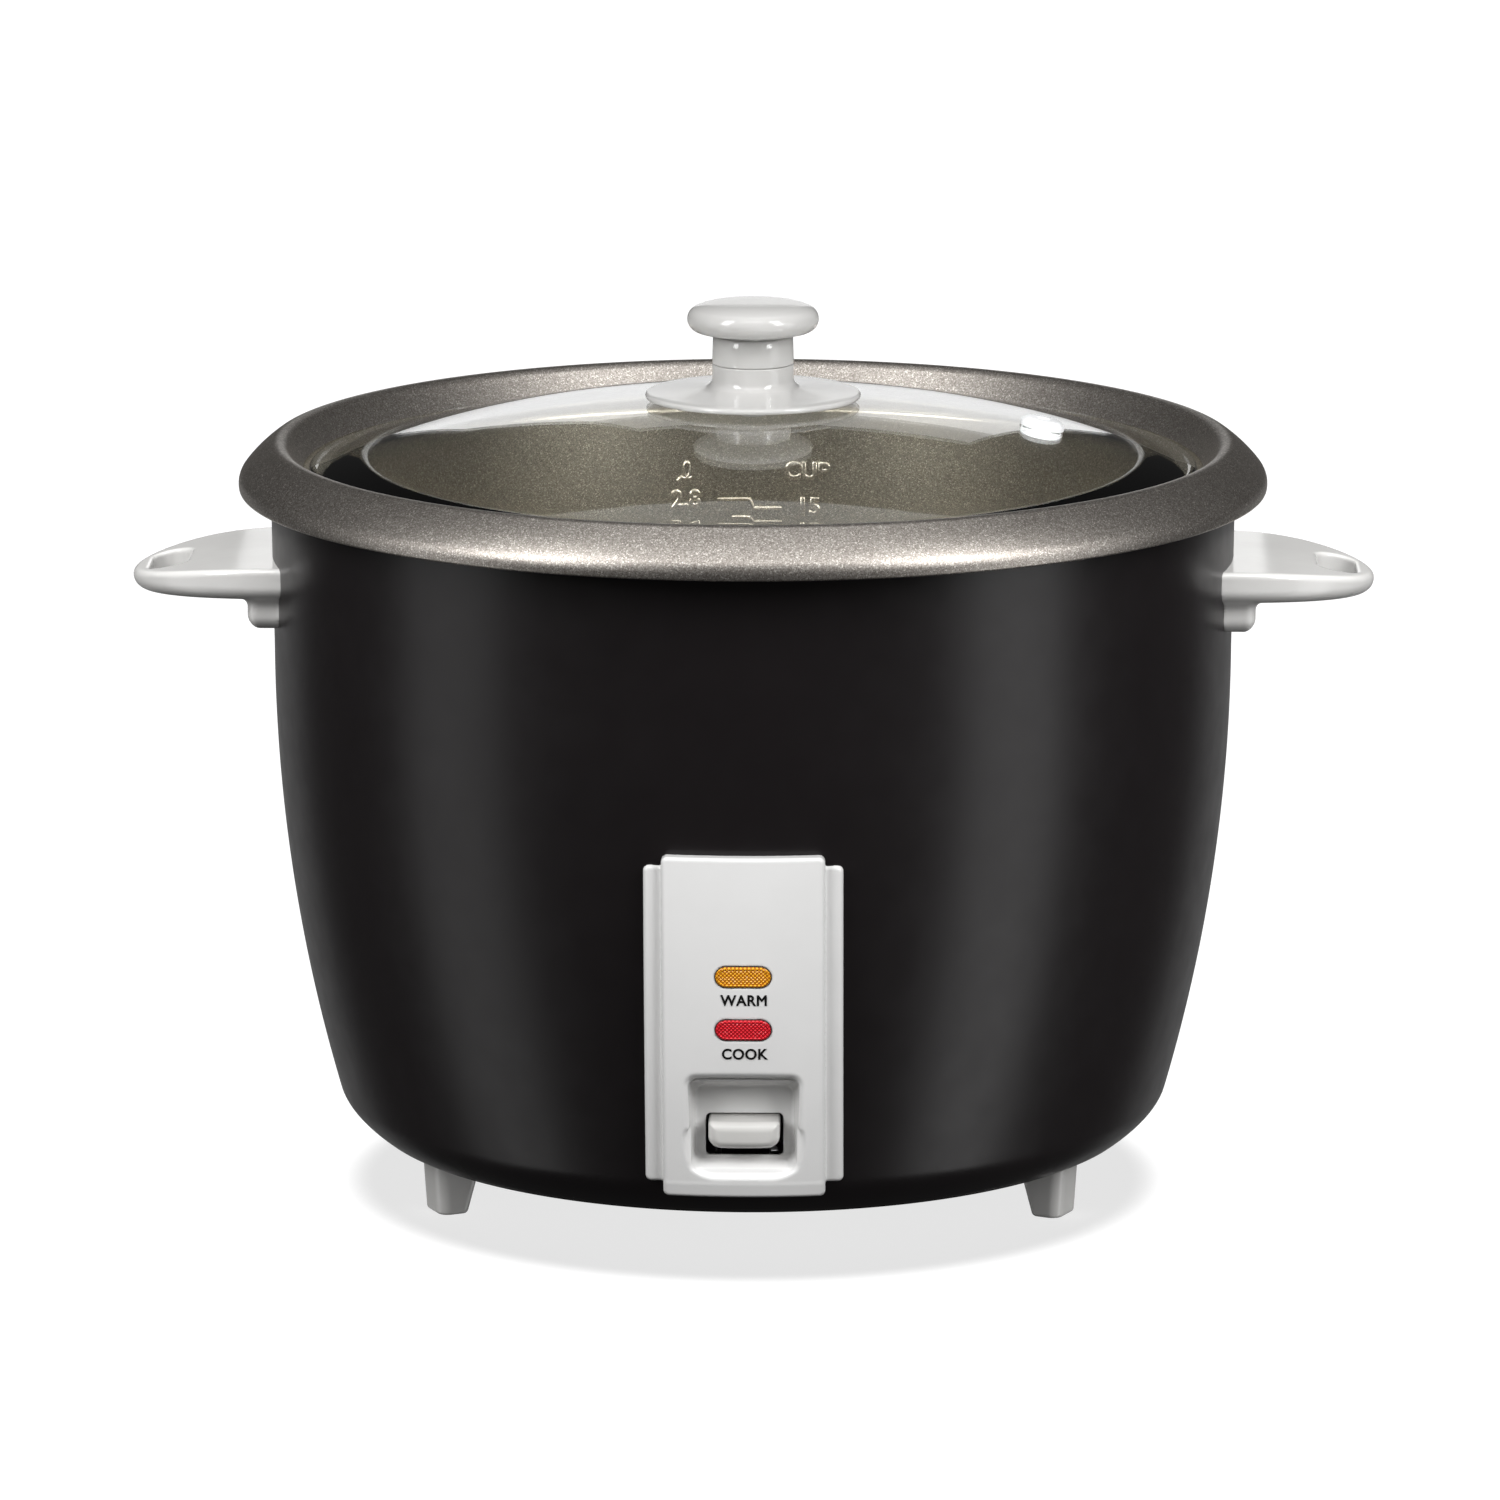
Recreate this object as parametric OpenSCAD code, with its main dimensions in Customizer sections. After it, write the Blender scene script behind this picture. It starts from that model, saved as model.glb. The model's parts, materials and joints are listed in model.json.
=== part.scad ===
// Drum rice cooker with a lift-out pot, a glass lid and one cook lever.
// Millimetres. The origin is on the table under the pot's axis, +Z is up and the front faces -Y.

/* [Body] */
// Radius of the painted body where its wall stops bulging
body_r = 143.1; // [142:0.1:144]
// Height above the table at which the wall starts to curve in towards the bottom
wall_top_z = 165; // [160:1:170]
// Radius of the big arc that the wall follows from there down
bulge_r = 498; // [480:1:520]
// Height of the body's bottom edge, which is also the length of the feet
body_bottom_z = 18; // [16:1:20]
// Radius of the body's bottom edge
bottom_edge_r = 113; // [112:0.5:114]
// Height of the body's top edge
body_top_z = 221.2; // [220.8:0.1:221.6]
// Thickness of the body's sheet metal
body_t = 1; // [0.8:0.1:1.2]

/* [Pot] */
// Radius inside the pot's wall
pot_inner_r = 125; // [123:0.5:126]
// Thickness of the pot
pot_t = 1.6; // [1.4:0.1:1.8]
// Height of the pot's underside, where it meets the heating plate
pot_bottom_z = 78; // [78:0.1:80]
// Radius of the curve between the pot's floor and its wall
pot_corner_r = 24; // [18:1:28]

/* [Lid] */
// Radius of the glass lid
lid_r = 132.3; // [131.5:0.1:132.5]
// Thickness of the glass
glass_t = 4; // [3.5:0.1:4]
// Height of the top of the glass at its rim
lid_rim_z = 221.7; // [221.7:0.1:222]
// Height of the top of the glass in the middle
dome_top_z = 238.8; // [236:0.1:239]
// Radius at which the flat rim turns up into the dome
dome_start_r = 119; // [117:0.5:121]
// Distance of the steam vent from the middle
vent_r = 86; // [70:1:95]

/* [Knob] */
// Diameter of the knob's cap
knob_d = 39.2; // [34:0.1:40]
// Height of the top of the knob
knob_top_z = 268.1; // [267:0.1:272]
// Diameter of the knob's neck
neck_d = 24.3; // [20:0.1:25]
// Diameter of the flange under the neck
flange_d = 64.2; // [56:0.1:66]

/* [Control panel] */
// Width of the panel's middle strip
strip_w = 46.8; // [45:0.1:49]
// Width over the panel's two side wings
wing_w = 57.2; // [55:0.1:60]
// How far the strip stands out from the body
strip_out = 4.2; // [3.8:0.1:4.6]
// How far the wings stand out from the body
wing_out = 1.9; // [1.6:0.1:2.2]
// Height of the warm lamp's lens
warm_z = 95.5; // [94:0.5:97]
// Height of the cook lamp's lens
cook_z = 79.3; // [78:0.5:81]

/* [Handles] */
// Distance from the axis to a handle's tip
handle_tip = 185.5; // [180:0.5:190]
// Half the width of a handle where it meets the body
handle_half_w = 35.5; // [30:0.5:36]
// Height of a handle's top face at the body
handle_top_z = 192.8; // [188:0.1:194]

/* [Hidden] */

$fn = 96;
gap = 0.3;           // clearance between faces that slide past each other
joint_play = 0.08;   // radial clearance of a pin or rod in its hole
skin = 0.05;         // how far a part that is fastened on stays off the body's paint
bite = 1;            // how far a cutting shape runs past the face it cuts

// Wall of the body
edge_arc_z = 31;     // where the wall leaves the big arc for the rounded bottom edge
edge_slope = 1.44;   // how fast the radius grows with height just above the bottom edge
wall_flare = 0.014;  // how fast the radius grows with height above wall_top_z
lip_w = 4;           // width of the lips turned in at the body's two ends
wall_steps = 24;
edge_steps = 8;

// Base plate, feet and liner
plate_z = body_bottom_z + body_t;
plate_t = 1.2;
base_plate_r = 112.4;
foot_angles = [-154, -26, 90];
foot_r = 105.5;
foot_half_w = 7;
foot_screw_at = 99;
floor_z = 60;
liner_t = 0.8;
liner_hole_r = 21;

// Heating plate and thermostat
hot_plate_r = 95;
hot_plate_z = pot_bottom_z - 0.2;
element_r = 70;
element_tube_r = 4;
element_z = hot_plate_z - 9.8;
element_open = 24;   // degrees left open at the back, between the element's two ends
element_leg_r = 3.2;
element_leg_angles = [90 - element_open / 2 - 3.5, 90 + element_open / 2 + 3.5];
leg_at = 84;
leg_angles = [30, 150, 270];
cap_r = 19.6;
cap_h = 14;
ferrite_bottom_z = 71.8;
magnet_top_z = 66.2;
magnet_h = 4.6;
rod_r = 3;
rod_bottom_z = 47.8;

// Lever and switch
pivot_y = -70;
pivot_z = 44.7;
pin_r = 2;
arm_t = 1.5;
arm_w = 12;
ear_x = 9.4;
paddle_top_z = 49.5;
paddle_bottom_z = 41.7;
paddle_front_y = -131.5;
paddle_back_y = -112;
paddle_half_w = 10;
switch_y = -97;
switch_top_z = 38;

// Panel recess: its outline at the mouth and at the back wall
recess_back_y = -120.5;
recess_mouth_y = -142;
recess_back = [14.15, 37, 58.5];
recess_mouth = [18.4, 28.2, 67.2];
tub_t = 1.6;
slot_half_w = 11.2;
slot_z = [37.4, 49.9];
lens_half_w = 8;
lamp_depth = 4.1;    // how far the lamps lie behind the body's outer face
lamp_r = 1.7;
collar_depth = 5.9;  // how far the collars round the lamps reach behind it
lens_h = 6.3;
panel_screw_x = 20;
panel_screw_z = [36, 120];

// Cord gland
gland_z = 42;
gland_neck_r = 6;
gland_bore_r = 3.6;
gland_grip = 0.3;    // the bore is gland_bore_r from this far outside the wall, and wider inside

// Handles
handle_root_x = 141;
handle_t = 9.6;      // thickness where it meets the body; it thins out towards the tip
handle_top_r = 175;  // the top face droops along this radius
handle_under_r = 475;
hang_hole_x = 174.4;
hang_hole_half_w = 5.8;
hang_hole_half_y = 13;
boss_x = 149.3;      // outer face of the boss that the screws hold
boss_z = handle_top_z - 19.2;
boss_half_w = handle_half_w - 4;
handle_screw_y = 15;
handle_screw_z = handle_top_z - 14.3;
handle_screw_head_x = 139.2;
handle_screw_tip_x = 147.2;

// Panel: heights of the ends of the strip and of the wings
strip_z = [26.4, 132.4];
wing_z = [30.3, 128.5];

// Pot rim: the ledge for the lid, then centres and outer radii of its crest, slope and roll
ledge_z = 217.4;
ledge_r = 132.6;
ledge_bend_r = 2;
crest = [141.7, 223];
crest_r = 3.7;
rim_slope = [122.02, 194.9];
rim_slope_r = 38;
roll = [147.3, 214.5];
roll_r = 6;
roll_end = -12;

// Knob
glass_gap = 0.1;     // between the glass and the parts clamped to it
seam_z = 249.25;     // where the knob sits on its base
seam_gap = 0.1;
cap_edge_r = 3.8;
knob_screw_top_z = 261;

black = [0.08, 0.08, 0.09];
grey = [0.78, 0.78, 0.77];
steel = [0.7, 0.71, 0.72];

// Outer radius of the body's wall at height z, above the rounded bottom edge
function wall_r(z) =
    z > wall_top_z
    ? body_r + (z - wall_top_z) * wall_flare
    : body_r - bulge_r + sqrt(bulge_r * bulge_r - pow(wall_top_z - z, 2));

// The bottom edge is a quadratic curve that leaves the wall along its own slope
function arc_slope(z) = (wall_top_z - z) / sqrt(bulge_r * bulge_r - pow(wall_top_z - z, 2));
edge_p0 = [wall_r(edge_arc_z), edge_arc_z];
edge_p2 = [bottom_edge_r, body_bottom_z];
edge_mid_z = (edge_p0[0] - edge_p2[0] - arc_slope(edge_arc_z) * edge_arc_z
    + edge_slope * body_bottom_z) / (edge_slope - arc_slope(edge_arc_z));
edge_p1 = [edge_p2[0] + edge_slope * (edge_mid_z - body_bottom_z), edge_mid_z];
function curve(a, b, c, t) = a * (1 - t) * (1 - t) + b * 2 * t * (1 - t) + c * t * t;

// Outer line of the body from its top edge down, moved out by "out"
function body_line(out, top_z) = concat(
    [[wall_r(top_z) + out, top_z]],
    [for (i = [0:wall_steps])
        let (z = wall_top_z - (wall_top_z - edge_arc_z) * i / wall_steps)
        if (z < top_z - bite) [wall_r(z) + out, z]],
    [for (i = [1:edge_steps])
        curve(edge_p0, edge_p1, edge_p2, i / edge_steps) + [out, 0]]
);

function reversed(list) = [for (i = [len(list) - 1:-1:0]) list[i]];

// Points of an arc round c, from angle a0 to a1
function arc(c, r, a0, a1, steps) =
    [for (i = [0:steps]) let (a = a0 + (a1 - a0) * i / steps) c + r * [cos(a), sin(a)]];

// A tube swept along a list of points
function unit(v) = v / norm(v);
function tangent(path, i) =
    unit(path[min(i + 1, len(path) - 1)] - path[max(i - 1, 0)]);
function side_dir(t) = unit(cross(t, abs(t[2]) < 0.9 ? [0, 0, 1] : [0, 1, 0]));

module tube_along(path, r, sides) {
    points = [for (i = [0:len(path) - 1])
        let (t = tangent(path, i), u = side_dir(t), v = cross(t, u))
        for (k = [0:sides - 1])
            path[i] + r * (cos(360 * k / sides) * u + sin(360 * k / sides) * v)];
    last = (len(path) - 1) * sides;
    walls = [for (i = [0:len(path) - 2], k = [0:sides - 1])
        let (a = i * sides + k, b = i * sides + (k + 1) % sides)
        for (f = [[a, b, b + sides], [a, b + sides, a + sides]]) f];
    ends = [[for (k = [sides - 1:-1:0]) k], [for (k = [0:sides - 1]) last + k]];
    polyhedron(points, concat(walls, ends), convexity = 8);
}

module coil(r, wire_r, z0, z1, turns) {
    steps = 12 * turns;
    tube_along(
        [for (i = [0:steps])
            [r * cos(30 * i), r * sin(30 * i), z0 + wire_r + (z1 - z0 - 2 * wire_r) * i / steps]],
        wire_r, 6);
}

// A slab with rounded corners that stands across Y, from y0 to y1
module upright_slab(x0, x1, z0, z1, r, y0, y1) {
    translate([0, y1, 0])
        rotate([90, 0, 0])
            linear_extrude(y1 - y0)
                union() {
                    translate([x0 + r, z0]) square([x1 - x0 - 2 * r, z1 - z0]);
                    translate([x0, z0 + r]) square([x1 - x0, z1 - z0 - 2 * r]);
                    for (x = [x0 + r, x1 - r], z = [z0 + r, z1 - r])
                        translate([x, z]) circle(r);
                }
}

// A rod along Y from y0 to y1
module rod_y(x, z, r, y0, y1) {
    translate([x, y1, z]) rotate([90, 0, 0]) cylinder(r = r, h = y1 - y0);
}

// A rod along X from x0 to x1
module rod_x(y, z, r, x0, x1) {
    translate([x0, y, z]) rotate([0, 90, 0]) cylinder(r = r, h = x1 - x0);
}

// A screw that points down, with its head's underside at z = 0
module screw(r, length, head_r, head_h) {
    translate([0, 0, -length]) cylinder(r = r, h = length + skin);
    cylinder(r = head_r, h = head_h);
}

// ---- Base unit -------------------------------------------------------------------------

module body_cutouts() {
    upright_slab(-19, 19, 30.5, 68.6, 2, -150, -100);
    for (z = [warm_z, cook_z])
        upright_slab(-10.5, 10.5, z - 5, z + 5, 2, -150, -100);
    for (x = [-panel_screw_x, panel_screw_x], z = panel_screw_z)
        rod_y(x, z, 1.8, -150, -100);
    for (y = [-handle_screw_y, handle_screw_y])
        rod_x(y, handle_screw_z, 2, -150, 150);
    gland_frame() translate([0, 0, -10]) cylinder(r = gland_neck_r, h = 20);
}

module outer_body() {
    outer = body_line(0, body_top_z);
    inner = body_line(-body_t, body_top_z - body_t);
    inner_wall = [for (p = inner) if (p[1] > body_bottom_z + body_t) p];
    color(black)
        difference() {
            rotate_extrude()
                polygon(concat(
                    outer,
                    [[bottom_edge_r - lip_w, body_bottom_z],
                        [bottom_edge_r - lip_w, body_bottom_z + body_t],
                        [bottom_edge_r + 0.4, body_bottom_z + body_t]],
                    reversed(inner_wall),
                    [[wall_r(body_top_z) - lip_w, body_top_z - body_t],
                        [wall_r(body_top_z) - lip_w, body_top_z]]
                ));
            body_cutouts();
        }
}

module base_plate() {
    color(steel)
        difference() {
            translate([0, 0, plate_z]) cylinder(r = base_plate_r, h = plate_t);
            for (a = foot_angles)
                rotate(a) translate([foot_screw_at, 0, plate_z - bite]) cylinder(r = 2.2, h = 4);
            for (a = [0:15:345], r = [45, 62])
                rotate(a + 7.5) translate([r, -2, plate_z - bite])
                    cube([11, 4, plate_t + 2 * bite]);
            for (x = [-13, 13], y = [-84, -60])
                translate([x, y, plate_z - bite]) cylinder(r = 1.5, h = 4);
            for (x = [-16, 16])
                translate([x, 82, plate_z - bite]) cylinder(r = 1.5, h = 4);
        }
}

// A foot, pointing out along +X: upright outside, sloping inside
module foot() {
    difference() {
        intersection() {
            rotate([90, 0, 0])
                translate([0, 0, -foot_half_w])
                    linear_extrude(2 * foot_half_w)
                        polygon([[97, 0.6], [97.6, 0], [foot_r - 1.6, 0], [foot_r - 0.9, 0.7],
                            [foot_r + 1.6, plate_z], [91, plate_z]]);
            union() {
                translate([80, -foot_half_w, -bite]) cube([foot_r - 80 - 3.4, 14, 30]);
                translate([80, -foot_half_w + 5, -bite]) cube([30, 4, 30]);
                for (s = [-1, 1])
                    translate([foot_r - 3.4, s * (foot_half_w - 5), -bite])
                        cylinder(r = 5, h = 30);
            }
        }
        translate([foot_screw_at, 0, 6]) cylinder(r = 1.6, h = 30);
    }
}

module feet() {
    color(grey)
        for (a = foot_angles) rotate(a) foot();
}

module foot_screws() {
    color(steel)
        for (a = foot_angles)
            rotate(a) translate([foot_screw_at, 0, plate_z + plate_t])
                screw(1.6, 11, 3.6, 2);
}

module inner_liner() {
    outer = [[wall_r(body_top_z) - 1.4, body_top_z - body_t - liner_t],
        [139, body_top_z - body_t - liner_t], [136, 200], [132.4, 100], [126, 74],
        [122, 65], [117, floor_z]];
    inner = [[wall_r(body_top_z) - 1.4, body_top_z - body_t],
        [138.2, body_top_z - body_t], [135.2, 200], [131.6, 100.2], [125.3, 74.6],
        [121.4, 65.7], [116.7, floor_z + liner_t]];
    color(steel)
        difference() {
            rotate_extrude()
                polygon(concat(
                    outer, [[liner_hole_r, floor_z], [liner_hole_r, floor_z + liner_t]],
                    reversed(inner)));
            for (a = leg_angles)
                rotate(a) translate([leg_at, 0, 50]) cylinder(r = 2.2, h = 20);
            for (a = element_leg_angles)
                rotate(a) translate([element_r, 0, 50]) cylinder(r = 6, h = 20);
            for (a = [0, 180])
                rotate(a) translate([27, 0, 50]) cylinder(r = 1.7, h = 20);
        }
}

module heating_plate() {
    color([0.66, 0.66, 0.67])
        difference() {
            union() {
                rotate_extrude()
                    polygon([[20, hot_plate_z - 5.5], [20, hot_plate_z],
                        [hot_plate_r - 8, hot_plate_z], [hot_plate_r - 2, hot_plate_z - 0.8],
                        [hot_plate_r, hot_plate_z - 3], [hot_plate_r, hot_plate_z - 5.5],
                        [element_r + 7, hot_plate_z - 5.5], [element_r + 6, element_z],
                        [element_r - 6, element_z], [element_r - 7, hot_plate_z - 5.5]]);
                for (a = leg_angles)
                    rotate(a) translate([leg_at, 0, floor_z + liner_t])
                        cylinder(r = 5, h = hot_plate_z - 5 - floor_z - liner_t);
            }
            rotate_extrude() translate([element_r, element_z]) circle(element_tube_r);
            for (a = leg_angles)
                rotate(a) translate([leg_at, 0, 55]) cylinder(r = 1.9, h = 16);
        }
}

module heating_element() {
    start = 90 + element_open / 2;
    color([0.35, 0.33, 0.31]) {
        rotate([0, 0, start])
            rotate_extrude(angle = 360 - element_open)
                translate([element_r, element_z]) circle(element_tube_r);
        for (a = element_leg_angles)
            rotate(a) {
                translate([element_r, 0, 52]) cylinder(r = element_leg_r, h = element_z - 52);
                translate([element_r, 0, 46]) cylinder(r = 1.6, h = 7);
            }
    }
}

module plate_screws() {
    color(steel)
        for (a = leg_angles)
            rotate(a) translate([leg_at, 0, floor_z]) rotate([180, 0, 0]) screw(1.9, 9, 3.6, 2);
}

module thermostat_bracket() {
    color(steel)
        difference() {
            translate([0, 0, floor_z - 1.2]) cylinder(r = 32, h = 1.2);
            translate([0, 0, 50]) cylinder(r = rod_r + joint_play, h = 20);
            for (a = [0, 180])
                rotate(a) translate([27, 0, 50]) cylinder(r = 1.5, h = 20);
        }
}

module thermostat_screws() {
    color(steel)
        for (a = [0, 180])
            rotate(a) translate([27, 0, floor_z - 1.2]) rotate([180, 0, 0])
                screw(1.5, 4, 2.8, 1.6);
}

// ---- Thermostat ------------------------------------------------------------------------

module sensor_cap() {
    top = hot_plate_z;
    color([0.76, 0.76, 0.77])
        rotate_extrude()
            polygon(concat(
                [[0, top - 1], [0, top]],
                arc([cap_r - 1.5, top - 1.5], 1.5, 90, 0, 6),
                [[cap_r, top - cap_h], [cap_r - 1, top - cap_h], [cap_r - 1, top - 1]]
            ));
}

module ferrite_ring() {
    color([0.2, 0.2, 0.21])
        difference() {
            translate([0, 0, ferrite_bottom_z])
                cylinder(r = 16.3, h = hot_plate_z - 1 - ferrite_bottom_z);
            translate([0, 0, ferrite_bottom_z - bite]) cylinder(r = 9.5, h = 20);
        }
}

module sensor_spring() {
    color(steel) coil(17.5, 0.5, floor_z, hot_plate_z - 1, 6);
}

module magnet() {
    color([0.25, 0.24, 0.24])
        difference() {
            translate([0, 0, magnet_top_z - magnet_h]) cylinder(r = 15.3, h = magnet_h);
            translate([0, 0, magnet_top_z - magnet_h - bite]) cylinder(r = 2, h = 20);
        }
}

module magnet_rod() {
    bottom = magnet_top_z - magnet_h;
    color(steel) {
        translate([0, 0, rod_bottom_z]) cylinder(r = rod_r, h = bottom - rod_bottom_z);
        translate([0, 0, bottom - bite]) cylinder(r = 2, h = magnet_h + bite);
        translate([0, 0, rod_bottom_z]) cylinder(r = 4.6, h = 1.5);
    }
}

module magnet_spring() {
    color(steel) coil(7.5, 0.4, magnet_top_z, hot_plate_z - 1, 4);
}

// ---- Lever and switch ------------------------------------------------------------------

module lever_arm() {
    z0 = pivot_z - arm_t / 2;
    color(steel)
        difference() {
            union() {
                translate([-arm_w / 2, -126, z0]) cube([arm_w, 132, arm_t]);
                for (x = [-arm_w / 2, arm_w / 2 - arm_t])
                    translate([x, pivot_y - 6, pivot_z - 5]) cube([arm_t, 12, 9]);
            }
            rod_x(pivot_y, pivot_z, pin_r + joint_play, -20, 20);
        }
}

module lever_button() {
    color([0.93, 0.93, 0.91])
        difference() {
            intersection() {
                upright_slab(-paddle_half_w, paddle_half_w, paddle_bottom_z, paddle_top_z, 1.5,
                    paddle_front_y, paddle_back_y);
                rod_x((paddle_front_y + paddle_back_y) / 2 + 6, 40, 17.5, -20, 20);
            }
            translate([-arm_w / 2, -126, pivot_z - arm_t / 2]) cube([arm_w, 30, arm_t]);
        }
}

module lever_pin() {
    color(steel) {
        rod_x(pivot_y, pivot_z, pin_r, -13, 13);
        for (x = [-14, 12.6]) rod_x(pivot_y, pivot_z, 3.2, x, x + 1.4);
    }
}

module switch_bracket() {
    base_z = plate_z + plate_t;
    color(steel)
        difference() {
            union() {
                translate([-18, -90, base_z]) cube([36, 36, 1.2]);
                for (x = [-ear_x - 1.2, ear_x])
                    translate([x, pivot_y - 6, base_z]) cube([1.2, 12, 30]);
                for (x = [-ear_x - 1.2, ear_x])
                    translate([x, -110, base_z]) cube([1.2, 50, 9]);
            }
            rod_x(pivot_y, pivot_z, pin_r, -20, 20);
            for (x = [-13, 13], y = [-84, -60])
                translate([x, y, base_z - bite]) cylinder(r = 1.5, h = 4);
        }
}

module bracket_screws() {
    color(steel)
        for (x = [-13, 13], y = [-84, -60])
            translate([x, y, plate_z + plate_t + 1.2]) screw(1.5, 3.4, 2.4, 1.6);
}

module micro_switch() {
    color([0.15, 0.15, 0.16])
        difference() {
            union() {
                translate([-7, switch_y - 12, switch_top_z - 14]) cube([14, 24, 14]);
                for (y = [switch_y - 8, switch_y, switch_y + 8])
                    translate([-3, y - 0.4, switch_top_z - 16]) cube([6, 0.8, 3]);
                for (x = [-ear_x, 7])
                    translate([x, switch_y - 8, switch_top_z - 12]) cube([ear_x - 7, 16, 4]);
            }
            translate([0, switch_y, switch_top_z - 6]) cylinder(r = 2 + joint_play, h = 10);
        }
}

module switch_plunger() {
    bottom = switch_top_z - 3;
    color([0.8, 0.2, 0.15])
        translate([0, switch_y, bottom])
            cylinder(r = 2, h = pivot_z - arm_t / 2 - gap - bottom);
}

// ---- Lamps and wiring ------------------------------------------------------------------

module indicator_lamps() {
    color([0.9, 0.6, 0.4])
        for (z = [warm_z, cook_z])
            rod_x(lamp_depth - wall_r(z), z, lamp_r, -8.2, 8.2);
}

module thermal_fuse() {
    color([0.85, 0.83, 0.8]) rod_x(44, floor_z - 3.6, 2.4, -11, 11);
}

module fuse_clip() {
    color(steel)
        difference() {
            translate([-3, 40.4, floor_z - 7.2]) cube([6, 7.2, 7.2]);
            rod_x(44, floor_z - 3.6, 2.4, -20, 20);
        }
}

module warm_resistor() {
    color([0.9, 0.88, 0.84])
        translate([40, -6, floor_z - 7.5]) cube([30, 12, 7.4]);
}

module terminal_block() {
    base_z = plate_z + plate_t;
    color([0.9, 0.89, 0.86])
        difference() {
            translate([-20, 76, base_z]) cube([40, 14, 11]);
            for (x = [-10, 0, 10])
                translate([x, 83, base_z + 4]) cylinder(r = 1.6, h = 10);
            for (x = [-16, 16])
                translate([x, 82, base_z - bite]) cylinder(r = 1.5, h = 20);
        }
}

module terminal_screws() {
    top_z = plate_z + plate_t + 11;
    color(steel) {
        for (x = [-10, 0, 10]) translate([x, 83, top_z]) screw(1.6, 5, 3, 1.8);
        for (x = [-16, 16]) translate([x, 82, top_z]) screw(1.5, 12.6, 2.6, 1.6);
    }
}

// Each wire runs through a few points chosen by hand
wires = [
    [[-10, 74, 30], [-14, 70, 32], [-18, 67, 38], [-18.7, 67.4, 44.8]],
    [[10, 74, 30], [14, 70, 32], [18, 67, 38], [18.7, 67.4, 44.8]],
    [[-4, 74, 30], [-20, 58, 34], [-30, 20, 36], [-28, -30, 36], [-20, -70, 34], [-14, -92, 32]],
    [[4, 74, 30], [20, 58, 34], [34, 20, 40], [36, -30, 42], [32, -85, 46], [27, -113, 54],
        [24, -122, 64], [18, -127.5, 74], [12.5, -129.5, 82]],
];

function blend(path, t) =
    let (n = len(path) - 1, s = min(floor(t * n), n - 1), f = t * n - s)
    let (a = path[max(s - 1, 0)], b = path[s], c = path[s + 1], d = path[min(s + 2, n)])
    0.5 * (2 * b + (c - a) * f + (2 * a - 5 * b + 4 * c - d) * f * f
        + (3 * b - a - 3 * c + d) * f * f * f);

module lead_wires() {
    color([0.85, 0.85, 0.8])
        for (w = wires)
            let (rings = 4 * (len(w) - 1))
                tube_along([for (i = [0:rings]) blend(w, i / rings)], 1.1, 8);
}

// Puts its children at the cord's outlet at the back, with +Z square to the wall, outwards
module gland_frame() {
    translate([0, wall_r(gland_z), gland_z])
        rotate([-90 - atan(arc_slope(gland_z)), 0, 0])
            children();
}

module cord_gland() {
    color([0.12, 0.12, 0.13])
        gland_frame()
            difference() {
                union() {
                    translate([0, 0, -7]) cylinder(r = gland_neck_r - skin, h = 10);
                    translate([0, 0, 0.6]) cylinder(r = 8.5, h = 3);
                    translate([0, 0, -5]) cylinder(r = 8, h = 3);
                }
                cylinder(r = gland_bore_r, h = 20);
                translate([0, 0, -10]) cylinder(r = gland_bore_r + 0.8, h = 10 + gland_grip);
            }
}

// ---- Control panel ---------------------------------------------------------------------

// A ring that follows the body's wall, between two distances from its outer face
module wall_band(inside, outside, z0, z1) {
    steps = 18;
    heights = [for (i = [0:steps]) z0 + (z1 - z0) * i / steps];
    rotate([0, 0, -110])
        rotate_extrude(angle = 40)
            polygon(concat(
                [for (z = heights) [band_r(z) + outside, z]],
                [for (z = reversed(heights)) [band_r(z) + inside, z]]
            ));
}

// The wall's radius, carried on along the big arc over the rounded bottom edge
function band_r(z) = z > edge_arc_z ? wall_r(z) : wall_r(edge_arc_z) - (edge_arc_z - z) * 0.36;

// A tapering box between a mouth and a back outline, each [half width, low z, high z]
module taper(mouth, mouth_y, back, back_y, grow, r) {
    thin = 0.01;
    hull() {
        upright_slab(-mouth[0] - grow, mouth[0] + grow, mouth[1] - grow, mouth[2] + grow,
            r, mouth_y, mouth_y + thin, $fn = 32);
        upright_slab(-back[0] - grow, back[0] + grow, back[1] - grow, back[2] + grow,
            r, back_y - thin, back_y, $fn = 32);
    }
}

module lens_shape(z, grow) {
    half_h = lens_h / 2 + grow;
    upright_slab(-lens_half_w - grow, lens_half_w + grow, z - half_h, z + half_h,
        half_h - 0.01, -160, -120);
}

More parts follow.
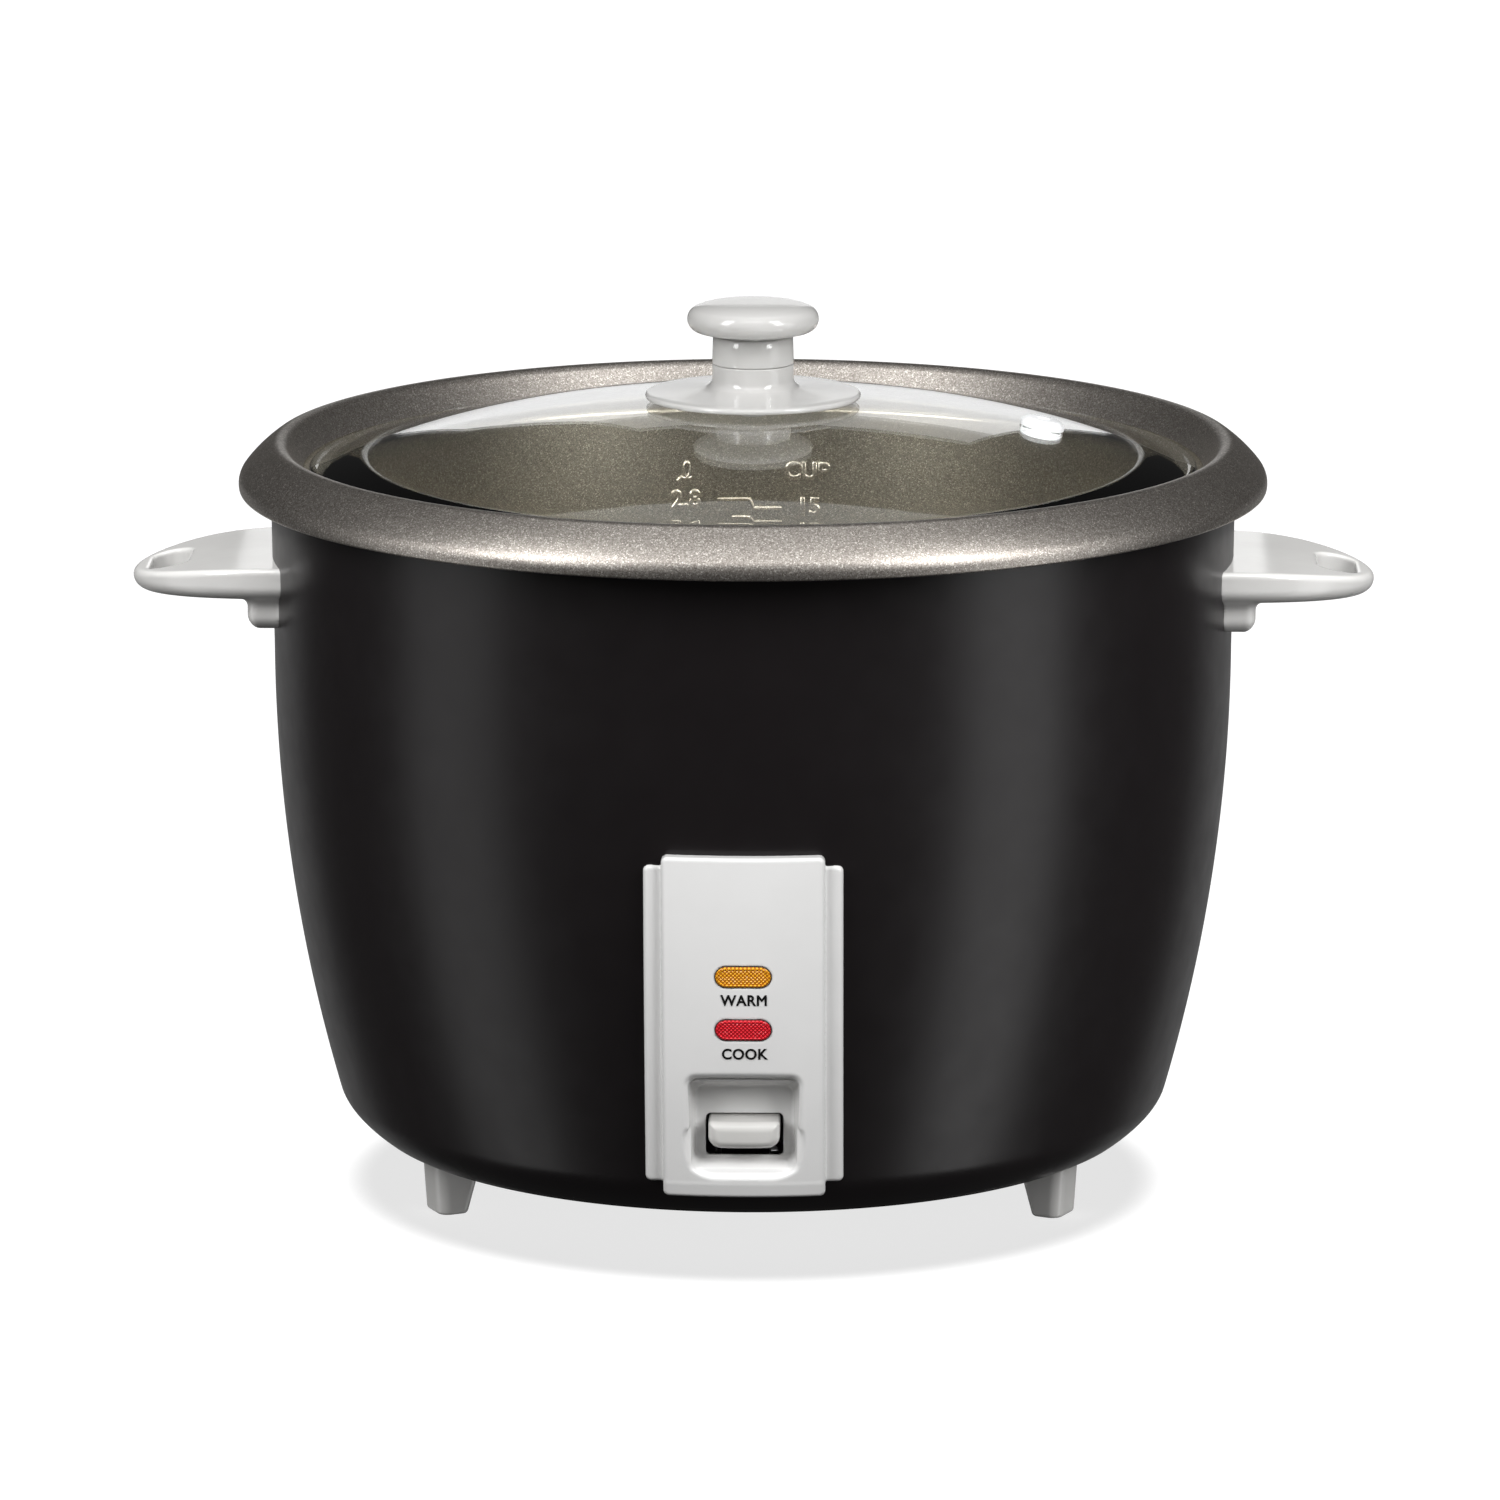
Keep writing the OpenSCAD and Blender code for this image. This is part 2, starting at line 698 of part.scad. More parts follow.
module control_panel() {
    color(grey)
        difference() {
            union() {
                intersection() {
                    wall_band(skin, strip_out, strip_z[0], strip_z[1]);
                    upright_slab(-strip_w / 2, strip_w / 2, 20, strip_z[1] - 0.1, 1.5, -160, -100);
                }
                intersection() {
                    wall_band(skin, wing_out, wing_z[0], wing_z[1]);
                    upright_slab(-wing_w / 2, wing_w / 2, wing_z[0] - 0.1, wing_z[1] - 0.1, 1.5,
                        -160, -100);
                }
                difference() {
                    taper(recess_mouth, recess_mouth_y, recess_back, recess_back_y + tub_t,
                        tub_t, 2);
                    wall_band(strip_out - 2, 40, 10, 150);
                }
                for (z = [warm_z, cook_z])
                    intersection() {
                        upright_slab(-10, 10, z - 4.5, z + 4.5, 1.5, -160, -120);
                        wall_band(-collar_depth, 1, z - 6, z + 6);
                    }
                for (x = [-panel_screw_x, panel_screw_x], z = panel_screw_z)
                    rod_y(x, z, 1.7, -wall_r(z) - 1, -sqrt(pow(wall_r(z), 2) - x * x) + 1);
            }
            taper(recess_mouth, recess_mouth_y, recess_back, recess_back_y, 0, 2);
            upright_slab(-slot_half_w, slot_half_w, slot_z[0], slot_z[1], 1, -125, -110);
            for (z = [warm_z, cook_z]) {
                lens_shape(z, 0.05);
                intersection() {
                    upright_slab(-8.3, 8.3, z - 3.2, z + 3.2, 1, -160, -120);
                    wall_band(-20, 0, z - 6, z + 6);
                }
            }
            for (x = [-panel_screw_x, panel_screw_x], z = panel_screw_z)
                rod_y(x, z, 1.1, -wall_r(z) - 0.5, -100);
        }
}

module panel_screws() {
    color(steel)
        for (x = [-panel_screw_x, panel_screw_x], z = panel_screw_z)
            let (face_y = -sqrt(pow(wall_r(z), 2) - x * x) + 2.2) {
                rod_y(x, z, 1.1, -wall_r(z) + 0.5, face_y);
                rod_y(x, z, 2.4, face_y, face_y + 1.4);
            }
}

module lens(z) {
    intersection() {
        lens_shape(z, 0);
        wall_band(-1.5, strip_out + 0.6, z - 6, z + 6);
    }
}

module amber_lens() {
    color([0.95, 0.6, 0.08]) lens(warm_z);
}

module red_lens() {
    color([0.8, 0.08, 0.08]) lens(cook_z);
}

// ---- Handles ---------------------------------------------------------------------------

module handle() {
    reach = handle_tip - handle_root_x;
    back_x = handle_root_x - 12;
    hole_y = hang_hole_half_y - hang_hole_half_w;
    corner_r = 5;
    fillet_r = 2.6;
    color(grey)
        difference() {
            union() {
                intersection() {
                    translate([0, 0, handle_top_z - 20])
                        linear_extrude(30)
                            polygon(concat(
                                [[back_x, -handle_half_w]],
                                [for (a = [-90:5:90])
                                    [handle_root_x + reach * cos(a), handle_half_w * sin(a)]],
                                [[back_x, handle_half_w]]
                            ));
                    difference() {
                        rod_y(handle_root_x, handle_top_z - handle_top_r, handle_top_r, -60, 60);
                        rod_y(handle_root_x, handle_top_z - handle_t - handle_under_r,
                            handle_under_r, -70, 70);
                    }
                }
                // the boss, rounded at its lower corner and filleted into the underside
                rotate([90, 0, 0])
                    linear_extrude(2 * boss_half_w, center = true)
                        polygon(concat(
                            [[back_x, boss_z]],
                            arc([boss_x - corner_r, boss_z + corner_r], corner_r, -90, 0, 5),
                            arc([boss_x + fillet_r, handle_top_z - handle_t - 0.1 - fillet_r],
                                fillet_r, 180, 90, 4),
                            [[boss_x + fillet_r, handle_top_z - 5], [back_x, handle_top_z - 5]]
                        ));
            }
            translate([0, 0, 100]) cylinder(r = wall_r(handle_top_z) + skin, h = 150);
            for (y = [-hole_y, hole_y])
                translate([hang_hole_x, y, 150]) cylinder(r = hang_hole_half_w, h = 60);
            translate([hang_hole_x - hang_hole_half_w, -hole_y, 150])
                cube([2 * hang_hole_half_w, 2 * hole_y, 60]);
            for (y = [-handle_screw_y, handle_screw_y])
                rod_x(y, handle_screw_z, 1.7, 100, handle_screw_tip_x + 0.3);
        }
}

module handle_right() {
    handle();
}

module handle_left() {
    rotate(180) handle();
}

module handle_screws() {
    color(steel)
        for (side = [0, 180], y = [-handle_screw_y, handle_screw_y])
            rotate(side) {
                rod_x(y, handle_screw_z, 1.7, handle_screw_head_x, handle_screw_tip_x);
                rod_x(y, handle_screw_z, 3.2, handle_screw_head_x, handle_screw_head_x + 1.6);
            }
}

// ---- Pot -------------------------------------------------------------------------------

module inner_pot() {
    inner_floor_z = pot_bottom_z + pot_t;
    outer_r = pot_inner_r + pot_t;
    lip_r = pot_t / 2;
    lip = roll + (roll_r - lip_r) * [cos(roll_end), sin(roll_end)];
    color([0.42, 0.4, 0.37])
        rotate_extrude()
            polygon(concat(
                // inside, from the middle of the floor up to the ledge for the lid
                [[0, inner_floor_z]],
                arc([pot_inner_r - pot_corner_r, inner_floor_z + pot_corner_r], pot_corner_r,
                    -90, 0, 12),
                [[pot_inner_r, ledge_z - ledge_bend_r]],
                arc([pot_inner_r + ledge_bend_r, ledge_z - ledge_bend_r], ledge_bend_r,
                    180, 90, 5),
                // up the inner side of the rim, over its crest and down the outer side
                arc([ledge_r, ledge_z + ledge_bend_r], ledge_bend_r, -90, -30, 4),
                arc(crest, crest_r, 148, 56, 9),
                arc(rim_slope, rim_slope_r, 55, 39, 5),
                arc(roll, roll_r, 38, roll_end + 1, 6),
                arc(lip, lip_r, roll_end, roll_end - 180, 5),
                // back under the rim and down the outside of the wall
                arc(roll, roll_r - pot_t, roll_end + 1, 38, 5),
                arc(rim_slope, rim_slope_r - pot_t, 39, 55, 4),
                arc(crest, crest_r - pot_t, 56, 148, 8),
                arc([ledge_r, ledge_z + ledge_bend_r], ledge_bend_r + pot_t, -30, -90, 4),
                arc([outer_r + 1.6, ledge_z - pot_t - 1.6], 1.6, 90, 180, 4),
                arc([pot_inner_r - pot_corner_r, inner_floor_z + pot_corner_r],
                    pot_corner_r + pot_t, 0, -90, 12),
                [[0, pot_bottom_z]]
            ));
}

// ---- Lid -------------------------------------------------------------------------------

dome_rise = dome_top_z - lid_rim_z;
dome_r = (dome_start_r * dome_start_r + dome_rise * dome_rise) / (2 * dome_rise);
dome_c = dome_top_z - dome_r;
function dome_z(r) = dome_c + sqrt(dome_r * dome_r - r * r);
function under_z(r) = dome_c + sqrt(pow(dome_r - glass_t, 2) - r * r);
vent_tilt = asin(vent_r / dome_r);

module lid_glass() {
    edge_r = glass_t / 2 - 0.1;
    blend_r = 4;
    color([0.8, 0.88, 0.9, 0.35])
        difference() {
            rotate_extrude()
                polygon(concat(
                    [for (i = [0:20]) let (r = (dome_start_r - blend_r) * i / 20) [r, dome_z(r)]],
                    [[dome_start_r, lid_rim_z + 0.2], [dome_start_r + blend_r, lid_rim_z]],
                    arc([lid_r - edge_r, lid_rim_z - glass_t / 2], edge_r, 90, -90, 8),
                    [[dome_start_r + blend_r / 2, lid_rim_z - glass_t]],
                    [for (i = [19:-1:0])
                        let (r = (dome_start_r - blend_r) * i / 19) [r, under_z(r)]]
                ));
            translate([0, 0, 200]) cylinder(r = 3.2, h = 60);
            vent_frame() translate([0, 0, -10]) cylinder(r = 4.4, h = 20);
        }
}

// Puts its children on top of the dome at the steam vent, square to the glass
module vent_frame() {
    translate([vent_r, 0, dome_z(vent_r)]) rotate([0, vent_tilt, 0]) children();
}

module vent_grommet() {
    color([0.92, 0.93, 0.94])
        vent_frame()
            rotate_extrude()
                polygon([[1.6, -glass_t - 1.4], [6, -glass_t - 1.4], [6, -glass_t - 0.05],
                    [4.35, -glass_t - 0.05], [4.35, 0.1], [6.6, 0.1], [6.6, 1.6], [6, 2.5],
                    [3, 3], [1.6, 3]]);
}

module knob_base() {
    base_z = dome_top_z + glass_gap;
    neck_r = neck_d / 2;
    edge_r = 0.9;
    fillet_r = 2.6;
    color(grey)
        difference() {
            rotate_extrude()
                polygon(concat(
                    [[0, base_z]],
                    arc([flange_d / 2 - edge_r, base_z + edge_r], edge_r, -90, 80, 8),
                    [[22, base_z + 2.5], [17, base_z + 3.1]],
                    arc([neck_r + fillet_r, base_z + 6], fillet_r, 260, 182, 6),
                    [[neck_r, seam_z - seam_gap / 2], [0, seam_z - seam_gap / 2]]
                ));
            translate([0, 0, 200]) cylinder(r = 2.4, h = 60);
        }
}

module knob() {
    neck_r = neck_d / 2;
    cap_z = knob_top_z - 5.4;
    color(grey)
        difference() {
            rotate_extrude()
                polygon(concat(
                    [[0, seam_z + seam_gap / 2], [neck_r, seam_z + seam_gap / 2],
                        [neck_r - 0.2, cap_z - 5.4], [neck_r - 1, cap_z - 4.9],
                        [neck_r + 1, cap_z - 4.5]],
                    arc([knob_d / 2 - cap_edge_r, cap_z], cap_edge_r, -70, 62, 12),
                    [[11, knob_top_z - 0.45], [6, knob_top_z - 0.1], [0, knob_top_z]]
                ));
            translate([0, 0, 240]) cylinder(r = 2, h = knob_screw_top_z + 3 - 240);
        }
}

module knob_screw() {
    washer_z = dome_top_z - glass_t - 1.3;
    color(steel) {
        translate([0, 0, washer_z]) cylinder(r = 2, h = knob_screw_top_z - washer_z);
        translate([0, 0, washer_z - 2.2]) cylinder(r = 4, h = 2.2);
    }
}

module knob_washer() {
    color([0.75, 0.75, 0.74])
        difference() {
            translate([0, 0, dome_top_z - glass_t - 1.3]) cylinder(r = 7, h = 1.2);
            translate([0, 0, 200]) cylinder(r = 2.05, h = 60);
        }
}

outer_body();
base_plate();
feet();
foot_screws();
inner_liner();
heating_plate();
heating_element();
plate_screws();
thermostat_bracket();
thermostat_screws();
sensor_cap();
ferrite_ring();
sensor_spring();
magnet();
magnet_rod();
magnet_spring();
lever_arm();
lever_button();
lever_pin();
switch_bracket();
bracket_screws();
micro_switch();
switch_plunger();
indicator_lamps();
thermal_fuse();
fuse_clip();
warm_resistor();
terminal_block();
terminal_screws();
lead_wires();
cord_gland();
control_panel();
panel_screws();
amber_lens();
red_lens();
handle_left();
handle_right();
handle_screws();
inner_pot();
lid_glass();
vent_grommet();
knob();
knob_base();
knob_screw();
knob_washer();
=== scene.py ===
"""Looks of the drum rice cooker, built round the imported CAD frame.

Shapes are worked out in millimetres in the frame's own axes: the table is z = 0, the front faces -Y.
"""
import json
import math

import bpy
import bmesh
import numpy as np
from mathutils import Matrix, Vector


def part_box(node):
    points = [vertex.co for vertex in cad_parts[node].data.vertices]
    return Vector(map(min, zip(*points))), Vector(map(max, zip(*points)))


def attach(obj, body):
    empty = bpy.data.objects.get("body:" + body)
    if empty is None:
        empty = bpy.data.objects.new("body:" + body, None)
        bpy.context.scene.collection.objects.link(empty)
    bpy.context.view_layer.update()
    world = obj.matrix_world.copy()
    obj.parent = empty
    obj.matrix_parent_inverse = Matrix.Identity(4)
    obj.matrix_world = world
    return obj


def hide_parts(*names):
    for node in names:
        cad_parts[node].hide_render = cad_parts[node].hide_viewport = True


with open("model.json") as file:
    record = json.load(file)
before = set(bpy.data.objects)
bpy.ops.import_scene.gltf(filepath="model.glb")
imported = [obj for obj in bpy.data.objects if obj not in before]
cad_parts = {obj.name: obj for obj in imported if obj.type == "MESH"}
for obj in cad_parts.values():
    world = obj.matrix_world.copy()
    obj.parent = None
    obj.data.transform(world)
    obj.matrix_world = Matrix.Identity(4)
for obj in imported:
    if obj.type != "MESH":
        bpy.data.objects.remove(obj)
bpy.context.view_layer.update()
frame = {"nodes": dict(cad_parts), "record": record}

MM = 0.001
SCENE = bpy.context.scene


def node_size(node):
    """Lowest and highest corner of a CAD node, in millimetres."""
    low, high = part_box(node)
    return np.array(low) / MM, np.array(high) / MM


# ---- Driving sizes, from the frame ----

BODY_LOW, BODY_HIGH = node_size("outer_body")
POT_LOW = node_size("inner_pot")[0]
GLASS_HIGH = node_size("lid_glass")[1]
KNOB_LOW, KNOB_HIGH = node_size("knob")
BASE_LOW, BASE_HIGH = node_size("knob_base")
PANEL_LOW, PANEL_HIGH = node_size("control_panel")
HANDLE_LOW, HANDLE_HIGH = node_size("handle_right")
PADDLE_LOW, PADDLE_HIGH = node_size("lever_button")
AMBER_LOW, AMBER_HIGH = node_size("amber_lens")
RED_LOW, RED_HIGH = node_size("red_lens")
FEET_LOW, FEET_HIGH = node_size("feet")

# The painted wall: a slight flare above WALL_TOP_Z, one big arc below it, a rounded bottom edge
WALL_TOP_Z = 165.0
WALL_FLARE = 0.014
BULGE_R = 498.0
BODY_TOP_Z = BODY_HIGH[2]
BODY_BOTTOM_Z = BODY_LOW[2]
BODY_R = BODY_HIGH[0] - (BODY_TOP_Z - WALL_TOP_Z) * WALL_FLARE
EDGE_ARC_Z = BODY_BOTTOM_Z + 13.0
BOTTOM_EDGE_R = 113.0
EDGE_SLOPE = 1.44
BAND_SLOPE = 0.36
SHEET_T = 1.0


def wall_r(z):
    """Outer radius of the painted wall at height z."""
    z = np.asarray(z, float)
    below = BODY_R - BULGE_R + np.sqrt(BULGE_R**2 - np.minimum(z - WALL_TOP_Z, 0.0) ** 2)
    return np.where(z > WALL_TOP_Z, BODY_R + (z - WALL_TOP_Z) * WALL_FLARE, below)


def arc_slope(z):
    """How fast the wall's radius grows with height, on the big arc."""
    drop = WALL_TOP_Z - z
    return drop / math.sqrt(BULGE_R**2 - drop**2)


def band_r(z):
    """wall_r carried straight on over the rounded bottom edge, where the panel runs."""
    z = np.asarray(z, float)
    low = wall_r(EDGE_ARC_Z) - (EDGE_ARC_Z - z) * BAND_SLOPE
    return np.where(z > EDGE_ARC_Z, wall_r(z), low)


# ---- Mesh helpers ----


def arc(centre, radius, start, end, steps):
    """Points of an arc, with its angles in degrees."""
    angles = np.radians(np.linspace(start, end, steps + 1))
    return [(centre[0] + radius * math.cos(a), centre[1] + radius * math.sin(a)) for a in angles]


def clean(mesh, sharp):
    """Merges doubled points, turns the faces outward and smooths all but edges over the sharp angle."""
    work = bmesh.new()
    work.from_mesh(mesh)
    bmesh.ops.remove_doubles(work, verts=work.verts, dist=1e-6)
    bmesh.ops.recalc_face_normals(work, faces=work.faces)
    work.to_mesh(mesh)
    work.free()
    mesh.shade_smooth()
    mesh.set_sharp_from_angle(angle=math.radians(sharp))


def add_object(name, data):
    """A new object in the scene, with this mesh, curve, light or camera."""
    obj = bpy.data.objects.new(name, data)
    SCENE.collection.objects.link(obj)
    return obj


def new_object(name, verts, faces, sharp=35.0):
    """A clean mesh object from points in millimetres."""
    mesh = bpy.data.meshes.new(name)
    mesh.from_pydata((np.asarray(verts, float) * MM).tolist(), [], faces)
    clean(mesh, sharp)
    return add_object(name, mesh)


def lathe(name, profile, segments=240, closed=True, sharp=35.0, skip=None):
    """Turns a profile of (radius, height) points round Z. skip(column, row) leaves a face out."""
    rings = []
    verts = []
    for r, z in profile:
        if r < 1e-6:
            rings.append([len(verts)] * segments)
            verts.append((0.0, 0.0, z))
            continue
        rings.append(list(range(len(verts), len(verts) + segments)))
        turn = 2 * math.pi * np.arange(segments) / segments
        verts.extend((r * math.sin(t), -r * math.cos(t), z) for t in turn)
    faces = []
    rows = len(profile) if closed else len(profile) - 1
    for i in range(rows):
        a, b = rings[i], rings[(i + 1) % len(profile)]
        for k in range(segments):
            n = (k + 1) % segments
            if skip and skip(k, i):
                continue
            corners = list(dict.fromkeys((a[k], a[n], b[n], b[k])))
            if len(corners) > 2:
                faces.append(corners)
    return new_object(name, verts, faces, sharp)


def surface(name, field, low, high, cell, sharp=40.0):
    """A closed mesh of the zero level of field(x, y, z), in millimetres, by surface nets."""
    axes = [np.arange(a - 1.5 * cell, b + 2.5 * cell, cell) for a, b in zip(low, high)]
    grid = np.meshgrid(*axes, indexing="ij")
    inside = field(*grid) < 0
    n = [len(a) for a in axes]
    corner = []
    for i, j, k in np.ndindex(2, 2, 2):
        corner.append(inside[i : n[0] - 1 + i, j : n[1] - 1 + j, k : n[2] - 1 + k])
    some = np.logical_or.reduce(corner)
    every = np.logical_and.reduce(corner)
    mixed = some & ~every
    index = np.full(mixed.shape, -1)
    index[mixed] = np.arange(mixed.sum())
    where = np.argwhere(mixed)
    points = np.array([axes[a][where[:, a]] + cell / 2 for a in range(3)]).T
    step = cell * 0.02
    for _ in range(6):
        value = field(*points.T)
        slopes = []
        for axis in step * np.eye(3):
            slopes.append((field(*(points + axis).T) - field(*(points - axis).T)) / (2 * step))
        slope = np.array(slopes).T
        size = np.maximum((slope**2).sum(1), 0.05)
        move = -(value / size)[:, None] * slope
        points = points + np.clip(move, -0.6 * cell, 0.6 * cell)
    faces = []
    for a in range(3):
        b, c = (a + 1) % 3, (a + 2) % 3
        here = [slice(1, n[0] - 1), slice(1, n[1] - 1), slice(1, n[2] - 1)]
        there = list(here)
        there[a] = slice(2, n[a])
        change = inside[tuple(here)] != inside[tuple(there)]
        cells = np.argwhere(change) + 1
        forward = inside[tuple(cells.T)]
        quad = []
        for db, dc in ((-1, -1), (0, -1), (0, 0), (-1, 0)):
            at = cells.copy()
            at[:, b] += db
            at[:, c] += dc
            quad.append(index[tuple(at.T)])
        quad = np.array(quad).T
        quad[~forward] = quad[~forward][:, ::-1]
        faces.extend(quad.tolist())
    return new_object(name, points, faces, sharp)


# Distance fields: below zero is inside. Rounded joins have true circular fillets.


def both(a, b, r=0.0):
    """The space inside both fields, with the outer edge rounded to radius r."""
    if r <= 0:
        return np.maximum(a, b)
    u = np.maximum(r + a, 0.0)
    v = np.maximum(r + b, 0.0)
    return np.minimum(-r, np.maximum(a, b)) + np.hypot(u, v)


def either(a, b, r=0.0):
    """The space inside one field or the other, with the inner corner filleted to radius r."""
    if r <= 0:
        return np.minimum(a, b)
    u = np.maximum(r - a, 0.0)
    v = np.maximum(r - b, 0.0)
    return np.maximum(r, np.minimum(a, b)) - np.hypot(u, v)


def without(a, b, r=0.0):
    """The space inside a but not b, with the edge between them rounded to radius r."""
    return both(a, -b, r)


def pill(u, v, half_w, half_h):
    """A flat shape with round ends: half_w by half_h, centred on zero."""
    return np.hypot(np.maximum(np.abs(u) - (half_w - half_h), 0.0), v) - half_h


def tube(name, path, radius, sides=12, closed=False):
    """A round tube along points in millimetres, with domed ends."""
    path = np.asarray(path, float)
    count = len(path)
    verts = []
    faces = []
    rings = []
    for i in range(count):
        before = path[(i - 1) % count] if closed or i else path[i]
        after = path[(i + 1) % count] if closed or i < count - 1 else path[i]
        along = (after - before) / np.linalg.norm(after - before)
        side = np.cross(along, (0, 0, 1) if abs(along[2]) < 0.9 else (0, 1, 0))
        side /= np.linalg.norm(side)
        up = np.cross(side, along)
        scales = [(0.0, 1.0)]
        if not closed and i == 0:
            scales = [(-0.9, 0.35), (-0.6, 0.8), (0.0, 1.0)]
        if not closed and i == count - 1:
            scales = [(0.0, 1.0), (0.6, 0.8), (0.9, 0.35)]
        for shift, scale in scales:
            rings.append(len(verts))
            for k in range(sides):
                turn = 2 * math.pi * k / sides
                out = side * math.cos(turn) + up * math.sin(turn)
                verts.append(path[i] + along * radius * shift + out * radius * scale)
    pairs = list(zip(rings, rings[1:] + rings[:1])) if closed else list(zip(rings, rings[1:]))
    for a, b in pairs:
        for k in range(sides):
            n = (k + 1) % sides
            faces.append((a + k, a + n, b + n, b + k))
    if not closed:
        faces.append(tuple(rings[0] + k for k in range(sides)))
        faces.append(tuple(rings[-1] + k for k in range(sides)))
    return new_object(name, verts, faces, 60.0)


def select(objects):
    """Selects these objects only, with the first one active."""
    bpy.ops.object.select_all(action="DESELECT")
    for obj in objects:
        obj.select_set(True)
    bpy.context.view_layer.objects.active = objects[0]


def join(name, objects):
    """Joins objects into the first of them and renames it."""
    select(objects)
    bpy.ops.object.join()
    objects[0].name = name
    return objects[0]


def modify(obj, kind, **settings):
    """Adds a modifier, sets it and applies it."""
    change = obj.modifiers.new(kind.lower(), kind)
    for key, value in settings.items():
        setattr(change, key, value)
    select([obj])
    bpy.ops.object.modifier_apply(modifier=change.name)
    return obj


# ---- Materials ----


class Nodes:
    """A material's node tree, with short calls for the nodes that the finishes share."""

    def __init__(self, name):
        self.material = bpy.data.materials.new(name)
        self.material.use_nodes = True
        self.tree = self.material.node_tree
        self.shader = self.tree.nodes["Principled BSDF"]
        self.place = self.tree.nodes.new("ShaderNodeTexCoord").outputs["Object"]

    def add(self, kind, **settings):
        node = self.tree.nodes.new("ShaderNode" + kind)
        for key, value in settings.items():
            setattr(node, key, value)
        return node

    def link(self, source, target):
        self.tree.links.new(source, target)

    def set(self, **values):
        for key, value in values.items():
            socket = self.shader.inputs[key.replace("_", " ")]
            if isinstance(value, bpy.types.NodeSocket):
                self.link(value, socket)
            elif isinstance(value, tuple) and len(value) == 3:
                socket.default_value = (*value, 1.0)
            else:
                socket.default_value = value

    def noise(self, size_mm, detail=2.0, stretch=(1, 1, 1)):
        """Noise whose cells are about size_mm across."""
        place = self.place
        if stretch != (1, 1, 1):
            mapping = self.add("Mapping")
            mapping.inputs["Scale"].default_value = stretch
            self.link(place, mapping.inputs["Vector"])
            place = mapping.outputs["Vector"]
        node = self.add("TexNoise")
        node.inputs["Scale"].default_value = 1.0 / (size_mm * MM)
        node.inputs["Detail"].default_value = detail
        self.link(place, node.inputs["Vector"])
        return node.outputs["Fac"]

    def cells(self, size_mm):
        """Flat random colours in cells about size_mm across."""
        node = self.add("TexVoronoi")
        node.inputs["Scale"].default_value = 1.0 / (size_mm * MM)
        self.link(self.place, node.inputs["Vector"])
        return node.outputs["Color"]

    def split(self, kind, source):
        """The three parts of a Color or an XYZ vector."""
        node = self.add("Separate" + kind)
        self.link(source, node.inputs[0])
        return node.outputs

    def calc(self, operation, *values):
        """One step of arithmetic on patterns and numbers."""
        node = self.add("Math", operation=operation)
        for k, value in enumerate(values):
            if isinstance(value, bpy.types.NodeSocket):
                self.link(value, node.inputs[k])
            else:
                node.inputs[k].default_value = value
        return node.outputs[0]

    def spread(self, source, low, high, start=0.3, end=0.7):
        """Turns a 0 to 1 pattern into numbers from low to high."""
        node = self.add("MapRange")
        node.inputs["From Min"].default_value = start
        node.inputs["From Max"].default_value = end
        node.inputs["To Min"].default_value = low
        node.inputs["To Max"].default_value = high
        self.link(source, node.inputs["Value"])
        return node.outputs["Result"]

    def tint(self, source, *colours, spots=None):
        """Turns a 0 to 1 pattern into a blend of colours."""
        ramp = self.add("ValToRGB")
        stops = ramp.color_ramp.elements
        spots = spots or [i / (len(colours) - 1) for i in range(len(colours))]
        while len(stops) < len(colours):
            stops.new(0.5)
        for stop, colour, spot in zip(stops, colours, spots):
            stop.position = spot
            stop.color = (*colour, 1.0)
        self.link(source, ramp.inputs["Fac"])
        return ramp.outputs["Color"]

    def bump(self, *layers):
        """Bump from (pattern, depth in mm) layers, one over the other."""
        normal = None
        for source, depth in layers:
            node = self.add("Bump")
            node.inputs["Strength"].default_value = 1.0
            node.inputs["Distance"].default_value = depth * MM
            self.link(source, node.inputs["Height"])
            if normal:
                self.link(normal, node.inputs["Normal"])
            normal = node.outputs["Normal"]
        self.link(normal, self.shader.inputs["Normal"])


def grey(value):
    return (value, value, value)


def enamel():
    """Satin black paint: a fine orange peel and a faint haze."""
    m = Nodes("satin_enamel")
    peel = m.noise(1.6, 2.0)
    haze = m.noise(35.0, 3.0)
    m.set(
        Base_Color=m.tint(haze, (0.0094, 0.0078, 0.0083), (0.0116, 0.0096, 0.0102)),
        Roughness=m.spread(m.noise(9.0, 4.0), 0.28, 0.33),
        Specular_IOR_Level=0.35,
    )
    m.bump((peel, 0.006), (m.noise(0.35, 1.0), 0.0012))
    return m.material


def moulded(name, dark, light, rough=(0.20, 0.27), grain=0.0015):
    """Glossy moulded plastic, with faint flow marks, a little dust and a soft orange peel."""
    m = Nodes(name)
    m.set(
        Base_Color=m.tint(m.noise(22.0, 3.0), dark, light, spots=(0.35, 0.65)),
        Roughness=m.spread(m.noise(5.0, 4.0), *rough),
    )
    m.bump((m.noise(3.0, 2.0), 0.006), (m.noise(0.25, 1.0), grain))
    return m.material


